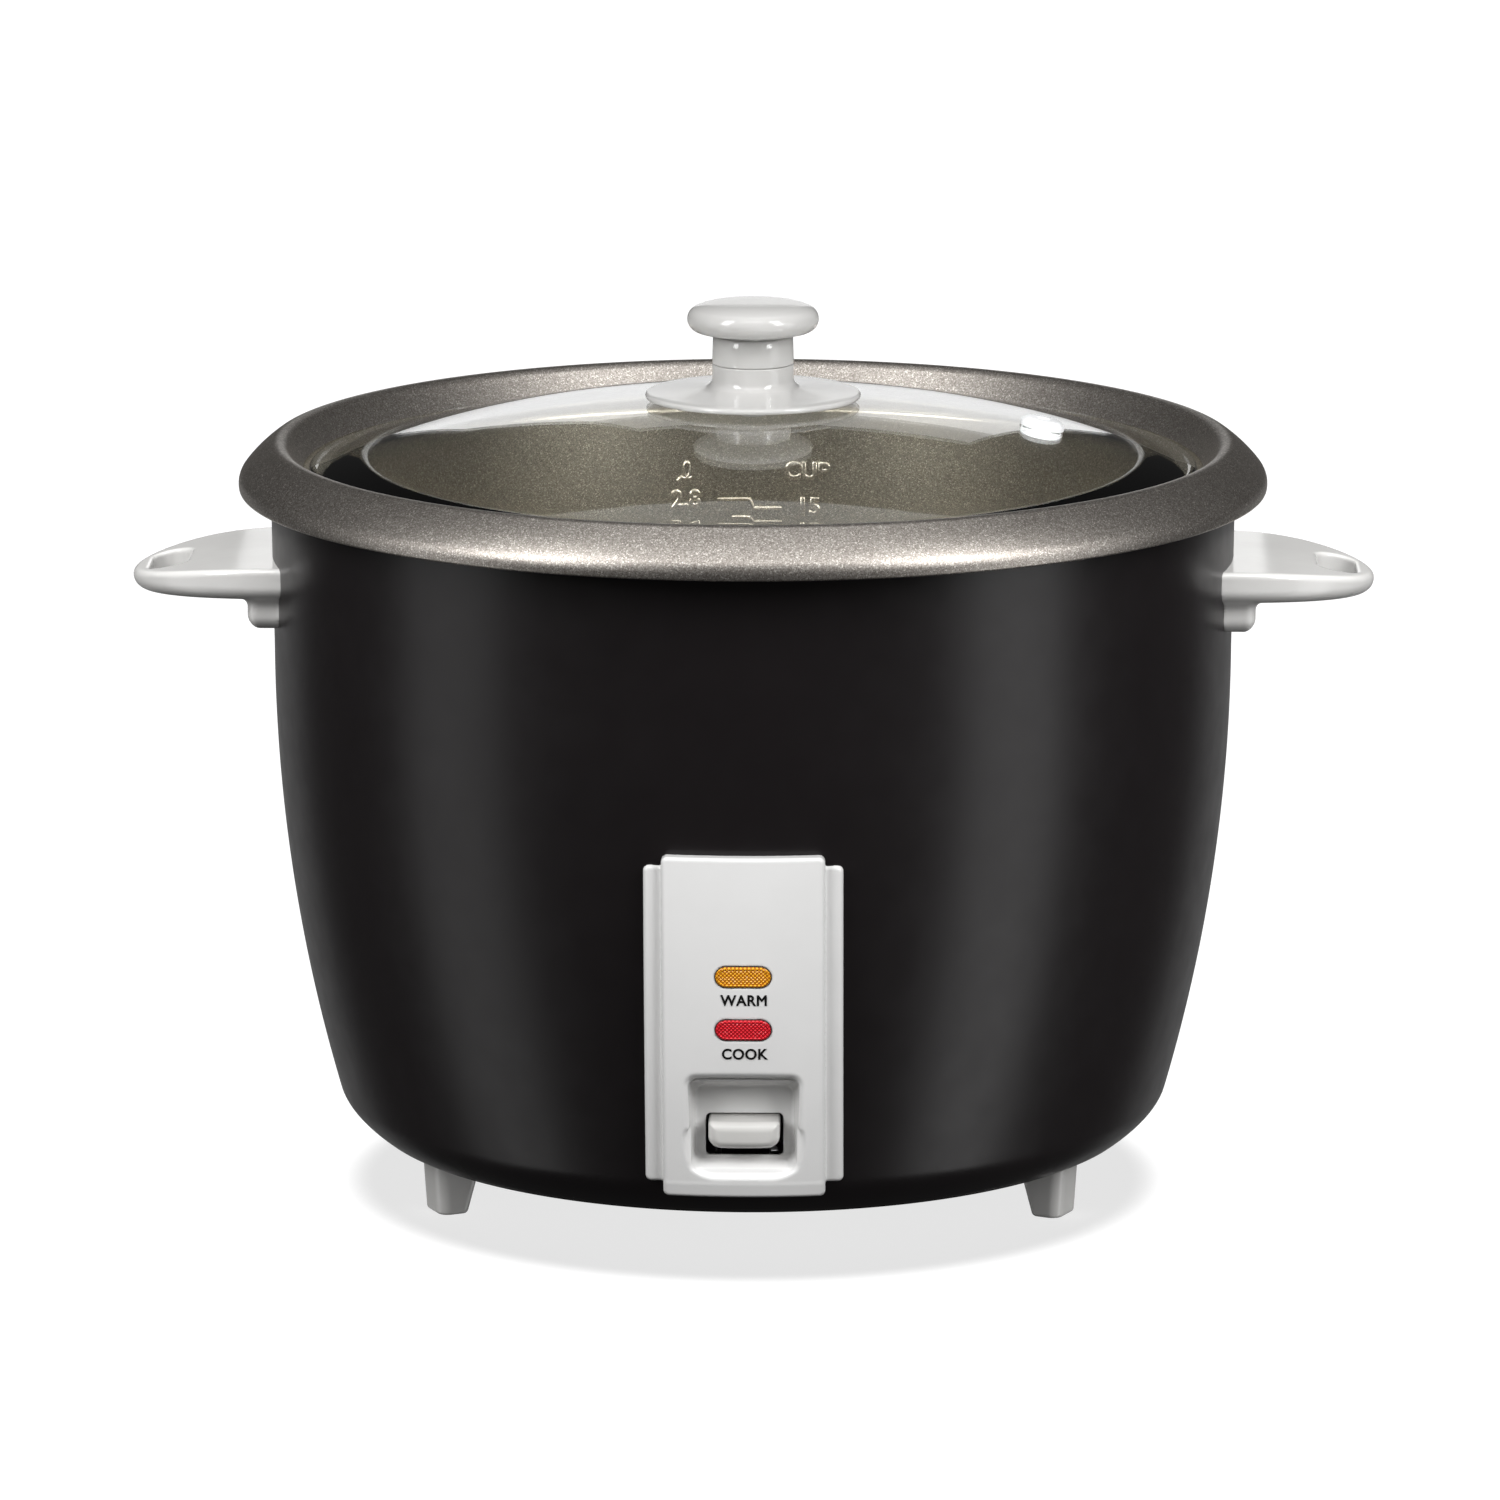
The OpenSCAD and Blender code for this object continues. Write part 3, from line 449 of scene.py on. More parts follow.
def coating(name, rough, fleck_depth, shade=(1.0, 1.0, 1.0)):
    """Sprayed non-stick coat: warm grey with fine bright and dark metal flecks."""
    m = Nodes(name)
    flecks = m.split("Color", m.cells(0.3))
    fine = m.split("Color", m.cells(0.16))
    greys = ((0.24, 0.215, 0.19), (0.37, 0.34, 0.31), (0.47, 0.437, 0.40), (0.85, 0.81, 0.76))
    mix = m.add("Mix", data_type="RGBA", blend_type="MULTIPLY")
    mix.inputs["Factor"].default_value = 1.0
    m.link(m.tint(flecks["Red"], *greys, spots=(0.0, 0.42, 0.86, 1.0)), mix.inputs["A"])
    # The shade factor scales the coat's colour. The darker and brighter copies made with it below are
    # painted shade and painted highlight.
    darker = tuple(0.82 * v for v in shade)
    m.link(m.tint(fine["Green"], darker, shade), mix.inputs["B"])
    m.set(
        Base_Color=mix.outputs["Result"],
        Metallic=0.95,
        Roughness=m.spread(flecks["Blue"], *rough, 0.0, 1.0),
    )
    m.bump((m.noise(7.0, 2.0), 0.02), (flecks["Green"], fleck_depth), (m.noise(0.5, 2.0), 0.006))
    return m.material


def glass():
    """Clear glass that lets most of the light through to what is under it."""
    m = Nodes("lid_glass_clear")
    smear = m.noise(30.0, 4.0)
    m.set(
        Base_Color=m.tint(smear, (0.965, 0.975, 0.970), (0.985, 0.990, 0.985)),
        Roughness=m.spread(smear, 0.0, 0.012, 0.45, 0.8),
        Transmission_Weight=1.0,
        IOR=1.5,
    )
    m.bump((m.noise(60.0, 1.0), 0.02))
    clear = m.add("BsdfTransparent")
    clear.inputs["Color"].default_value = (0.93, 0.94, 0.935, 1.0)
    path = m.add("LightPath")
    mix = m.add("MixShader")
    m.link(path.outputs["Is Shadow Ray"], mix.inputs["Fac"])
    m.link(m.shader.outputs["BSDF"], mix.inputs[1])
    m.link(clear.outputs["BSDF"], mix.inputs[2])
    m.link(mix.outputs["Shader"], m.tree.nodes["Material Output"].inputs["Surface"])
    return m.material


def silicone():
    """White silicone rubber, smooth from the mould."""
    m = Nodes("white_silicone")
    m.set(
        Base_Color=m.tint(m.noise(3.0, 3.0), (0.88, 0.89, 0.90), (0.93, 0.94, 0.95)),
        Roughness=m.spread(m.noise(1.5, 3.0), 0.26, 0.34),
        IOR=1.42,
    )
    m.bump((m.noise(0.8, 2.0), 0.006))
    return m.material


LENS_PITCH = 1.15
LENS_CROWN = 0.55
LENS_BACK = -1.2
PYRAMID_H = 0.3
TOOL_PITCH = 0.9
THREAD_PITCH = 3.0


def lens(name, deep, bright):
    """Coloured plastic over a lattice of small pyramids, with a painted highlight: the colour is
    brighter at their tips.
    """
    m = Nodes(name)
    spot = m.split("XYZ", m.place)
    half_pitch = LENS_PITCH * MM / 2
    ridges = []
    for operation in ("ADD", "SUBTRACT"):
        ridges.append(m.calc("PINGPONG", m.calc(operation, spot["X"], spot["Z"]), half_pitch))
    # Painted highlight: the base colour runs from deep to bright near each pyramid's tip, where light
    # would glint.
    tip_glint_mask = m.spread(m.calc("MAXIMUM", *ridges), 1.0, 0.0, 0.0, half_pitch)
    m.set(
        Base_Color=m.tint(tip_glint_mask, deep, deep, bright, bright, spots=(0.0, 0.22, 0.4, 1.0)),
        Roughness=m.spread(m.noise(0.8, 2.0), 0.12, 0.2),
        IOR=1.49,
        Specular_IOR_Level=0.25,
        Coat_Weight=0.1,
        Coat_Roughness=0.06,
    )
    m.bump((m.noise(0.4, 1.0), 0.003))
    return m.material


def metal(name, dark, light, rough, brush=(1, 1, 1)):
    """Plated or rolled metal, with its marks stretched along the brush direction."""
    m = Nodes(name)
    marks = m.noise(0.8, 4.0, brush)
    m.set(
        Base_Color=m.tint(m.noise(12.0, 3.0), dark, light),
        Metallic=1.0,
        Roughness=m.spread(marks, *rough),
    )
    m.bump((marks, 0.006), (m.noise(14.0, 2.0), 0.03))
    return m.material


def turned(name, dark, light):
    """Cast aluminium with the rings of the tool that faced it."""
    m = Nodes(name)
    spot = m.split("XYZ", m.place)
    squares = [m.calc("MULTIPLY", spot[side], spot[side]) for side in ("X", "Y")]
    radius = m.calc("SQRT", m.calc("ADD", *squares))
    rings = m.calc("SINE", m.calc("MULTIPLY", radius, 2 * math.pi / (TOOL_PITCH * MM)))
    m.set(
        Base_Color=m.tint(m.noise(16.0, 4.0), dark, light),
        Metallic=0.95,
        Roughness=m.spread(m.noise(6.0, 4.0), 0.32, 0.48),
    )
    m.bump((rings, 0.012), (m.noise(1.2, 3.0), 0.02))
    return m.material


def matte(name, dark, light, rough=(0.5, 0.65), size=2.0, depth=0.02):
    """A dull finish with a grain about size millimetres across."""
    m = Nodes(name)
    m.set(
        Base_Color=m.tint(m.noise(size * 6, 3.0), dark, light),
        Roughness=m.spread(m.noise(size * 2, 3.0), *rough),
    )
    m.bump((m.noise(size * 0.4, 3.0), depth))
    return m.material


def braid(name, dark, light):
    """A woven sleeve, with bands of fine threads."""
    m = Nodes(name)
    wave = m.add("TexWave", wave_type="BANDS", bands_direction="DIAGONAL")
    wave.inputs["Scale"].default_value = 1.0 / (THREAD_PITCH * MM)
    m.link(m.place, wave.inputs["Vector"])
    m.set(
        Base_Color=m.tint(wave.outputs["Fac"], dark, light),
        Roughness=m.spread(m.noise(1.0, 3.0), 0.6, 0.8),
    )
    m.bump((wave.outputs["Fac"], 0.08))
    return m.material


GREYS = (0.55, 0.544, 0.532), (0.58, 0.574, 0.562)
PANEL_GREYS = (0.845, 0.842, 0.835), (0.870, 0.867, 0.860)
WHITES = (0.62, 0.612, 0.592), (0.66, 0.652, 0.634)
GREY_PLASTIC = moulded("grey_plastic_gloss", *GREYS, (0.08, 0.12), 0.0008)
PANEL_PLASTIC = moulded("panel_plastic_gloss", *PANEL_GREYS, (0.14, 0.2))
WHITE_PLASTIC = moulded("white_plastic_gloss", *WHITES, (0.12, 0.18))
FINISHES = {
    "black_enamel": enamel(),
    "grey_plastic": GREY_PLASTIC,
    "white_plastic": WHITE_PLASTIC,
    "dark_plastic": matte("dark_plastic_satin", grey(0.012), grey(0.022), (0.38, 0.5), 1.5, 0.01),
    "red_plastic": matte("red_plastic_satin", (0.42, 0.03, 0.02), (0.55, 0.05, 0.03), (0.35, 0.45)),
    "steel": metal("plated_steel", (0.42, 0.42, 0.43), (0.60, 0.60, 0.61), (0.28, 0.42), (1, 12, 1)),
    "cast_aluminium": turned("turned_aluminium", (0.50, 0.50, 0.51), (0.68, 0.68, 0.69)),
    "heater_tube": metal("heat_stained_tube", (0.10, 0.085, 0.075), (0.22, 0.20, 0.19), (0.4, 0.6)),
    "ferrite": matte("sintered_ferrite", grey(0.02), grey(0.045), (0.5, 0.7), 0.8, 0.02),
    "lamp_glass": moulded("lamp_tube", (0.75, 0.45, 0.25), (0.9, 0.62, 0.4), (0.06, 0.1)),
    "ceramic": matte("unglazed_ceramic", (0.62, 0.58, 0.51), (0.74, 0.70, 0.64), (0.55, 0.8), 1.0),
    "wire_sleeve": braid("glass_fibre_sleeve", (0.48, 0.45, 0.38), (0.74, 0.71, 0.64)),
    "amber_lens": lens("amber_lens_plastic", (0.42, 0.095, 0.003), (0.98, 0.50, 0.03)),
    "red_lens": lens("red_lens_plastic", (0.34, 0.003, 0.007), (0.92, 0.04, 0.06)),
    "pot_coating": coating("pot_coating_flecked", (0.36, 0.46), 0.010),
    "lid_glass": glass(),
    "silicone": silicone(),
}
# Painted shade: the inside wall gets a darker, yellower copy of the coat. Its smoother roughness range
# is a real setting.
POT_INSIDE_SHADED = coating("pot_coating_inside_shaded", (0.32, 0.38), 0.002, (0.92, 0.90, 0.79))
# Painted shade: the ledge under the lid's edge gets a much darker copy of the coat.
POT_LEDGE_SHADED = coating("pot_coating_ledge_shaded", (0.50, 0.60), 0.002, (0.62, 0.60, 0.52))
# Painted highlight: the raised marks get a brighter copy of the coat, standing in for light on their
# tops.
POT_MARKS_HIGHLIGHTED = coating("pot_coating_marks_highlighted", (0.28, 0.34), 0.002, (1.3, 1.28, 1.16))


def keep(obj, body, slot, *nodes, material=None):
    """Gives a piece its finish, its body and the CAD nodes that it stands for."""
    obj.data.materials.clear()
    obj.data.materials.append(material or FINISHES[slot])
    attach(obj, body)
    if nodes:
        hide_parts(*nodes)
    return obj


# ---- Painted body ----

# The opening behind the panel: its heights, and its half-width in columns of the turned mesh
WINDOW_Z = (30.5, 68.6)
WINDOW_COLUMNS = 6


def body_shell():
    """The drum: a turned-in lip at each end, and an opening behind the panel."""
    p0 = np.array([float(wall_r(EDGE_ARC_Z)), EDGE_ARC_Z])
    p2 = np.array([BOTTOM_EDGE_R, BODY_BOTTOM_Z])
    slope = arc_slope(EDGE_ARC_Z)
    mid_z = (p0[0] - p2[0] - slope * p0[1] + EDGE_SLOPE * p2[1]) / (EDGE_SLOPE - slope)
    p1 = np.array([p2[0] + EDGE_SLOPE * (mid_z - p2[1]), mid_z])
    top_r = float(wall_r(BODY_TOP_Z))
    lip = 4.0
    edge = 1.2
    low_edge = 0.9
    profile = [(top_r - lip, BODY_TOP_Z)]
    profile += arc((top_r - edge, BODY_TOP_Z - edge), edge, 90, 0, 5)
    top_rows = len(profile) - 1
    heights = np.linspace(EDGE_ARC_Z, BODY_TOP_Z - edge - 1, 64).tolist()
    heights = sorted(set(heights + [WINDOW_Z[1]]))
    profile += [(float(wall_r(z)), z) for z in reversed(heights)]
    for t in np.linspace(0.08, 0.92, 12):
        profile.append(tuple(p0 * (1 - t) ** 2 + p1 * 2 * t * (1 - t) + p2 * t * t))
    profile += arc((BOTTOM_EDGE_R - low_edge, BODY_BOTTOM_Z + low_edge), low_edge, -25, -90, 4)
    profile.append((BOTTOM_EDGE_R - lip, BODY_BOTTOM_Z))
    segments = 256

    def skip(column, row):
        front = column < WINDOW_COLUMNS or column >= segments - WINDOW_COLUMNS
        mid = (profile[row][1] + profile[row + 1][1]) / 2
        return front and row > top_rows and WINDOW_Z[0] < mid < WINDOW_Z[1]

    shell = lathe("body_shell", profile, segments, closed=False, sharp=50, skip=skip)
    modify(shell, "SOLIDIFY", thickness=SHEET_T * MM, offset=-1.0)
    shell.data.set_sharp_from_angle(angle=math.radians(50))
    return keep(shell, "base", "black_enamel", "outer_body")


# ---- Control panel ----

STRIP_W = 46.8
WING_W = PANEL_HIGH[0] - PANEL_LOW[0]
STRIP_OUT = 4.2
WING_OUT = 1.9
# The panel's top is 1.3 mm lower than in the CAD, as the photograph has it
STRIP_Z = (PANEL_LOW[2], PANEL_HIGH[2] - 1.3)
WING_Z = (PANEL_LOW[2] + 3.8, PANEL_HIGH[2] - 4.5)
WARM_Z = (AMBER_LOW[2] + AMBER_HIGH[2]) / 2
COOK_Z = (RED_LOW[2] + RED_HIGH[2]) / 2
LENS_HALF_W = (AMBER_HIGH[0] - AMBER_LOW[0]) / 2
LENS_HALF_H = (AMBER_HIGH[2] - AMBER_LOW[2]) / 2
RECESS_BACK_Y = -120.5
RECESS_MOUTH_Y = -142.0
SLOT_HALF_W = 11.2
SLOT_Z = (37.4, 49.9)
SLOT_FRONT_Y = -126.0
SCOOP_Z = 42.6
SCOOP_HALF_W = 17.6
SCOOP_HALF_H = 9.5
SCOOP_BACK_Y = -127.5
TUB_HALF_W = 17.0
TUB_Z = (34.5, 62.5)
TUB_BACK_Y = -119.0
GROOVE_DEPTH = 0.9
GROOVE_W = 5.2
CORNER_R = 1.8
HEIGHTS = np.linspace(20, 140, 241)
SLANTS = np.sqrt(1 + np.gradient(band_r(HEIGHTS), HEIGHTS) ** 2)


def outward(x, y, z):
    """Distance outside the painted wall, square to it."""
    return (np.hypot(x, y) - band_r(z)) / np.interp(z, HEIGHTS, SLANTS)


def between(value, low, high):
    """Below zero where the value is between low and high."""
    return np.maximum(low - value, value - high)


def plate(x, z, out, half_w, z_range, thickness, edge):
    """A plate that follows the wall, with rounded corners and a rounded front edge."""
    outline = both(np.abs(x) - half_w, between(z, *z_range), CORNER_R)
    return both(both(outline, out - thickness, edge), 0.05 - out)


def recess_field(x, y, z):
    """The finger recess: a tapering box with a wider scoop round the lever."""
    share = (RECESS_BACK_Y - y) / (RECESS_BACK_Y - RECESS_MOUTH_Y)

    def taper(back, mouth):
        return back + (mouth - back) * share

    half_w = taper(14.1, 17.2)
    top = taper(58.5, 66.8)
    bottom = taper(37.0, 31.4)
    # The factors turn gaps to the sloping faces into true distances
    box = both((np.abs(x) - half_w) * 0.985, both(z - top, (bottom - z) * 0.96, 1.0), 2.6)
    box = both(box, y - RECESS_BACK_Y, 0.8)
    scoop = pill(x, z - SCOOP_Z, SCOOP_HALF_W, SCOOP_HALF_H)
    shallower = np.maximum(np.abs(x) - 14.0, 0.0) * 1.2
    scoop = both(scoop, y - SCOOP_BACK_Y + shallower, 1.0)
    return either(box, scoop, 0.25)


def panel_field(x, y, z):
    """The moulding: a strip with set-back wings, a tub behind the recess, and three openings."""
    out = outward(x, y, z)
    strip = plate(x, z, out, STRIP_W / 2, STRIP_Z, STRIP_OUT, 1.0)
    rise = np.clip((np.abs(x) - STRIP_W / 2) / GROOVE_W, 0.0, 1.0)
    wing_out = WING_OUT - GROOVE_DEPTH + GROOVE_DEPTH * rise * rise * (3 - 2 * rise)
    wings = plate(x, z, out, WING_W / 2, WING_Z, wing_out, 1.2)
    skin = either(strip, wings, 0.5)
    tub = both(np.abs(x) - TUB_HALF_W, between(z, *TUB_Z), 2.0)
    tub = both(both(tub, y - TUB_BACK_Y), out - 1.0)
    solid = either(skin, tub, 0.6)
    solid = without(solid, recess_field(x, y, z), 1.3)
    slot = both(np.abs(x) - SLOT_HALF_W, between(z, *SLOT_Z), 1.4)
    slot = both(slot, SLOT_FRONT_Y - y)
    solid = without(solid, slot, 0.35)
    gap = 0.12
    for lens_z in (WARM_Z, COOK_Z):
        hole = pill(x, z - lens_z, LENS_HALF_W + gap, LENS_HALF_H + gap)
        solid = without(solid, both(hole, 0.6 - out), 0.45)
    return both(solid, y)


def panel():
    low = (-WING_W / 2, -float(wall_r(STRIP_Z[1])) - STRIP_OUT - 1, STRIP_Z[0])
    high = (WING_W / 2, -118.5, STRIP_Z[1])
    cell = 0.42
    piece = surface("panel_moulding", panel_field, low, high, cell)
    return keep(piece, "base", "grey_plastic", "control_panel", material=PANEL_PLASTIC)


def on_wall(x, z, out):
    """A point over the painted wall at the front, out millimetres square to it."""
    r = band_r(z) + out * np.interp(z, HEIGHTS, SLANTS)
    return np.stack([x, -np.sqrt(r * r - x * x), z], axis=-1)


def lens_piece(name, centre_z, slot, node):
    """A pill-shaped lens: a smooth rim round a field of small pyramids."""
    gap = 0.05
    half_w = LENS_HALF_W - gap
    half_h = LENS_HALF_H - gap
    rows, columns = 64, 150
    v = np.sin(np.linspace(-1, 1, rows + 1) * math.pi / 2)
    u = np.linspace(-1, 1, columns + 1)
    z = v * half_h
    reach = half_w - half_h + np.sqrt(np.maximum(half_h**2 - z**2, 0.0))
    x = reach[:, None] * u[None, :]
    z = np.repeat(z[:, None], columns + 1, 1)
    inset = -pill(x, z, half_w, half_h)
    edge_w, edge_drop = 0.7, 0.45
    rim_w, step_w, step_drop = 0.75, 0.2, 0.28
    dome = STRIP_OUT + LENS_CROWN - edge_drop * np.clip(1 - inset / edge_w, 0, 1) ** 2
    dome = dome - step_drop * np.clip((inset - rim_w) / step_w, 0, 1)
    p = np.abs(((x + z + centre_z) / LENS_PITCH) % 1 - 0.5) * 2
    q = np.abs(((x - z - centre_z) / LENS_PITCH) % 1 - 0.5) * 2
    facets = np.minimum(p, q) * PYRAMID_H
    out = dome + facets * np.clip((inset - 0.95) / 0.15, 0, 1)
    front = on_wall(x, z + centre_z, out).reshape(-1, 3)
    back = on_wall(x, z + centre_z, np.full_like(x, LENS_BACK)).reshape(-1, 3)
    verts = np.concatenate([front, back])
    faces = []
    wide = columns + 1
    total = len(front)
    for i in range(rows):
        for k in range(columns):
            a = i * wide + k
            faces.append((a, a + 1, a + wide + 1, a + wide))
            faces.append((total + a, total + a + wide, total + a + wide + 1, total + a + 1))
    rim = list(range(wide))
    rim += [i * wide + columns for i in range(1, rows + 1)]
    rim += [rows * wide + k for k in range(columns - 1, -1, -1)]
    rim += [i * wide for i in range(rows - 1, 0, -1)]
    for a, b in zip(rim, rim[1:] + rim[:1]):
        faces.append((a, b, total + b, total + a))
    return keep(new_object(name, verts, faces, 28), "base", slot, node)


def pill_path(half_w, half_h, steps=24):
    """Points round a pill, in its own plane."""
    flat = half_w - half_h
    points = []
    for side in (1, -1):
        for t in np.linspace(-math.pi / 2, math.pi / 2, steps):
            points.append((side * (flat + half_h * math.cos(t)), side * half_h * math.sin(t)))
    return points


def seam_shade_line(name, centre_z):
    """A dark line round a lens: painted shade standing in for the shadowed seam."""
    gap = 0.02
    line_r = 0.15
    outline = np.array(pill_path(LENS_HALF_W + gap, LENS_HALF_H + gap))
    path = on_wall(outline[:, 0], outline[:, 1] + centre_z, STRIP_OUT + gap)
    return keep(tube(name, path, line_r, 8, closed=True), "base", "dark_plastic")


FONT_SIZE_PER_HEIGHT = 1.37
LETTER_SQUEEZE = 0.92


def label(name, words, centre, height, place, body, slot, material, bold, thick, round_edge):
    """Generic lettering: each point (across, up, out) in millimetres goes where place() says."""
    curve = bpy.data.curves.new(name, "FONT")
    curve.body = words
    curve.align_x = "CENTER"
    curve.align_y = "CENTER"
    curve.size = height * FONT_SIZE_PER_HEIGHT
    curve.extrude = thick
    curve.offset = bold
    curve.bevel_depth = round_edge
    curve.bevel_resolution = 2
    curve.space_character = 1.08
    text = add_object(name, curve)
    bpy.context.view_layer.update()
    mesh = bpy.data.meshes.new_from_object(text.evaluated_get(bpy.context.evaluated_depsgraph_get()))
    bpy.data.objects.remove(text)
    co = np.array([v.co for v in mesh.vertices], float)
    co[:, 0] = co[:, 0] * LETTER_SQUEEZE + centre[0]
    co[:, 1] += centre[1]
    placed = place(co[:, 0], co[:, 1], co[:, 2]) * MM
    for vertex, point in zip(mesh.vertices, placed):
        vertex.co = point
    clean(mesh, 40)
    return keep(add_object(name, mesh), body, slot, material=material)


# ---- Lever paddle ----


def paddle_field(x, y, z):
    """The lever's paddle: big lower corners, a slightly bowed front."""
    half_w = (PADDLE_HIGH[0] - PADDLE_LOW[0]) / 2 + 0.3
    low_z, high_z = PADDLE_LOW[2] - 0.2, PADDLE_HIGH[2]
    front_y = PADDLE_LOW[1]
    sides = np.abs(x) - half_w
    shape = both(sides, low_z - z, 3.6)
    shape = both(shape, z - high_z, 0.9)
    bow = (x / half_w) ** 2 * 0.9 + ((z - high_z) / 8.0) ** 2 * 0.7
    shape = both(shape, (front_y + bow) - y, 2.6)
    return both(shape, y - PADDLE_HIGH[1], 0.5)


def paddle():
    piece = surface("lever_paddle", paddle_field, PADDLE_LOW - 1, PADDLE_HIGH + 1, 0.3)
    return keep(piece, "lever", "white_plastic", "lever_button")


# ---- Handles ----

HANDLE_ROOT_X = 141.0
HANDLE_TIP = HANDLE_HIGH[0]
HANDLE_HALF_W = (HANDLE_HIGH[1] - HANDLE_LOW[1]) / 2
HANDLE_TOP_Z = HANDLE_HIGH[2]
HANDLE_T = 9.6
DROOP_R = 175.0
UNDER_R = 475.0
HOLE_X = 174.4
HOLE_HALF_W = 5.8
HOLE_HALF_Y = 13.0
BOSS_X = 149.3
BOSS_HALF_W = HANDLE_HALF_W - 4.3
BOSS_Z = (HANDLE_LOW[2], HANDLE_TOP_Z - 4.0)
WALL_OVERLAP = 0.35


def handle_field(x, y, z):
    """The right handle: a drooping half-oval plate on a boss, with a hang hole."""
    a, b = HANDLE_TIP - HANDLE_ROOT_X, HANDLE_HALF_W
    u = np.maximum(x - HANDLE_ROOT_X, 0.0)
    near = np.hypot(u / a, y / b)
    steep = np.maximum(np.hypot(u / a**2, y / b**2), 1e-6)
    oval = near * (near - 1) / steep
    over = np.hypot(x - HANDLE_ROOT_X, z - (HANDLE_TOP_Z - DROOP_R)) - DROOP_R
    under_z = HANDLE_TOP_Z - HANDLE_T - UNDER_R
    under = UNDER_R - np.hypot(x - HANDLE_ROOT_X, z - under_z)
    body = both(oval, over, 1.6)
    body = both(body, under, 4.2)
    boss = both(np.abs(y) - BOSS_HALF_W, x - BOSS_X, 3.0)
    boss = both(both(boss, BOSS_Z[0] - z, 4.6), z - BOSS_Z[1])
    body = either(body, boss, 2.6)
    hole = pill(y, x - HOLE_X, HOLE_HALF_Y, HOLE_HALF_W)
    body = without(body, hole, 1.0)
    return both(body, wall_r(z) - WALL_OVERLAP - np.hypot(x, y))


def handles():
    cell = 0.55
    right = surface("handle_moulding_right", handle_field, HANDLE_LOW - 1, HANDLE_HIGH + 1, cell)
    left = add_object("handle_moulding_left", right.data.copy())
    left.data.transform(Matrix.Rotation(math.pi, 4, "Z"))
    keep(right, "base", "grey_plastic", "handle_right")
    keep(left, "base", "grey_plastic", "handle_left")


# ---- Feet ----

FOOT_ANGLES = (-154.0, -26.0, 90.0)
FOOT_R = 105.5
FOOT_HALF_W = 7.0
FOOT_INNER_X = 96.6
FOOT_BOX = ((88, -8.5, 0), (109, 8.5, FEET_HIGH[2]))


def foot_field(x, y, z):
    """A foot that points out along +X: upright outside, sloping inside."""
    top = FEET_HIGH[2]
    shape = both(x - FOOT_R - 1.3 * z / top, np.abs(y) - FOOT_HALF_W + 0.2 - 0.2 * z / top, 3.6)
    inner = (FOOT_INNER_X - x - 5.6 * z / top) * 0.95
    shape = both(both(shape, inner, 1.4), FEET_LOW[2] - z, 1.1)
    return both(shape, z - top)


def feet():
    pieces = []
    for k, angle in enumerate(FOOT_ANGLES):
        foot = surface(f"foot_{k}", foot_field, *FOOT_BOX, 0.5)
        foot.data.transform(Matrix.Rotation(math.radians(angle), 4, "Z"))
        pieces.append(foot)
    return keep(join("feet_moulded", pieces), "base", "grey_plastic", "feet")


# ---- Pot ----

POT_T = 1.6
POT_INNER_R = 125.0
POT_FLOOR_Z = POT_LOW[2] + POT_T
POT_CORNER_R = 24.0
LEDGE_Z = 217.4
CREST, CREST_R = (141.7, 223.0), 3.7
RIM_SLOPE, RIM_SLOPE_R = (122.02, 194.9), 38.0
ROLL, ROLL_R = (147.3, 214.5), 6.0
ROLL_END = (152.39, 213.42)
LEDGE_END = (132.6, LEDGE_Z + 2)
LEDGE_END_R = 134.6
MARK_TOP_Z = 186.0
MARK_H = 5.6
LITRE_STEP = 11.6
CUP_STEP = 11.4
LINE_R = 0.56
LINE_OUT = 0.2
LINE_STEP = 0.6


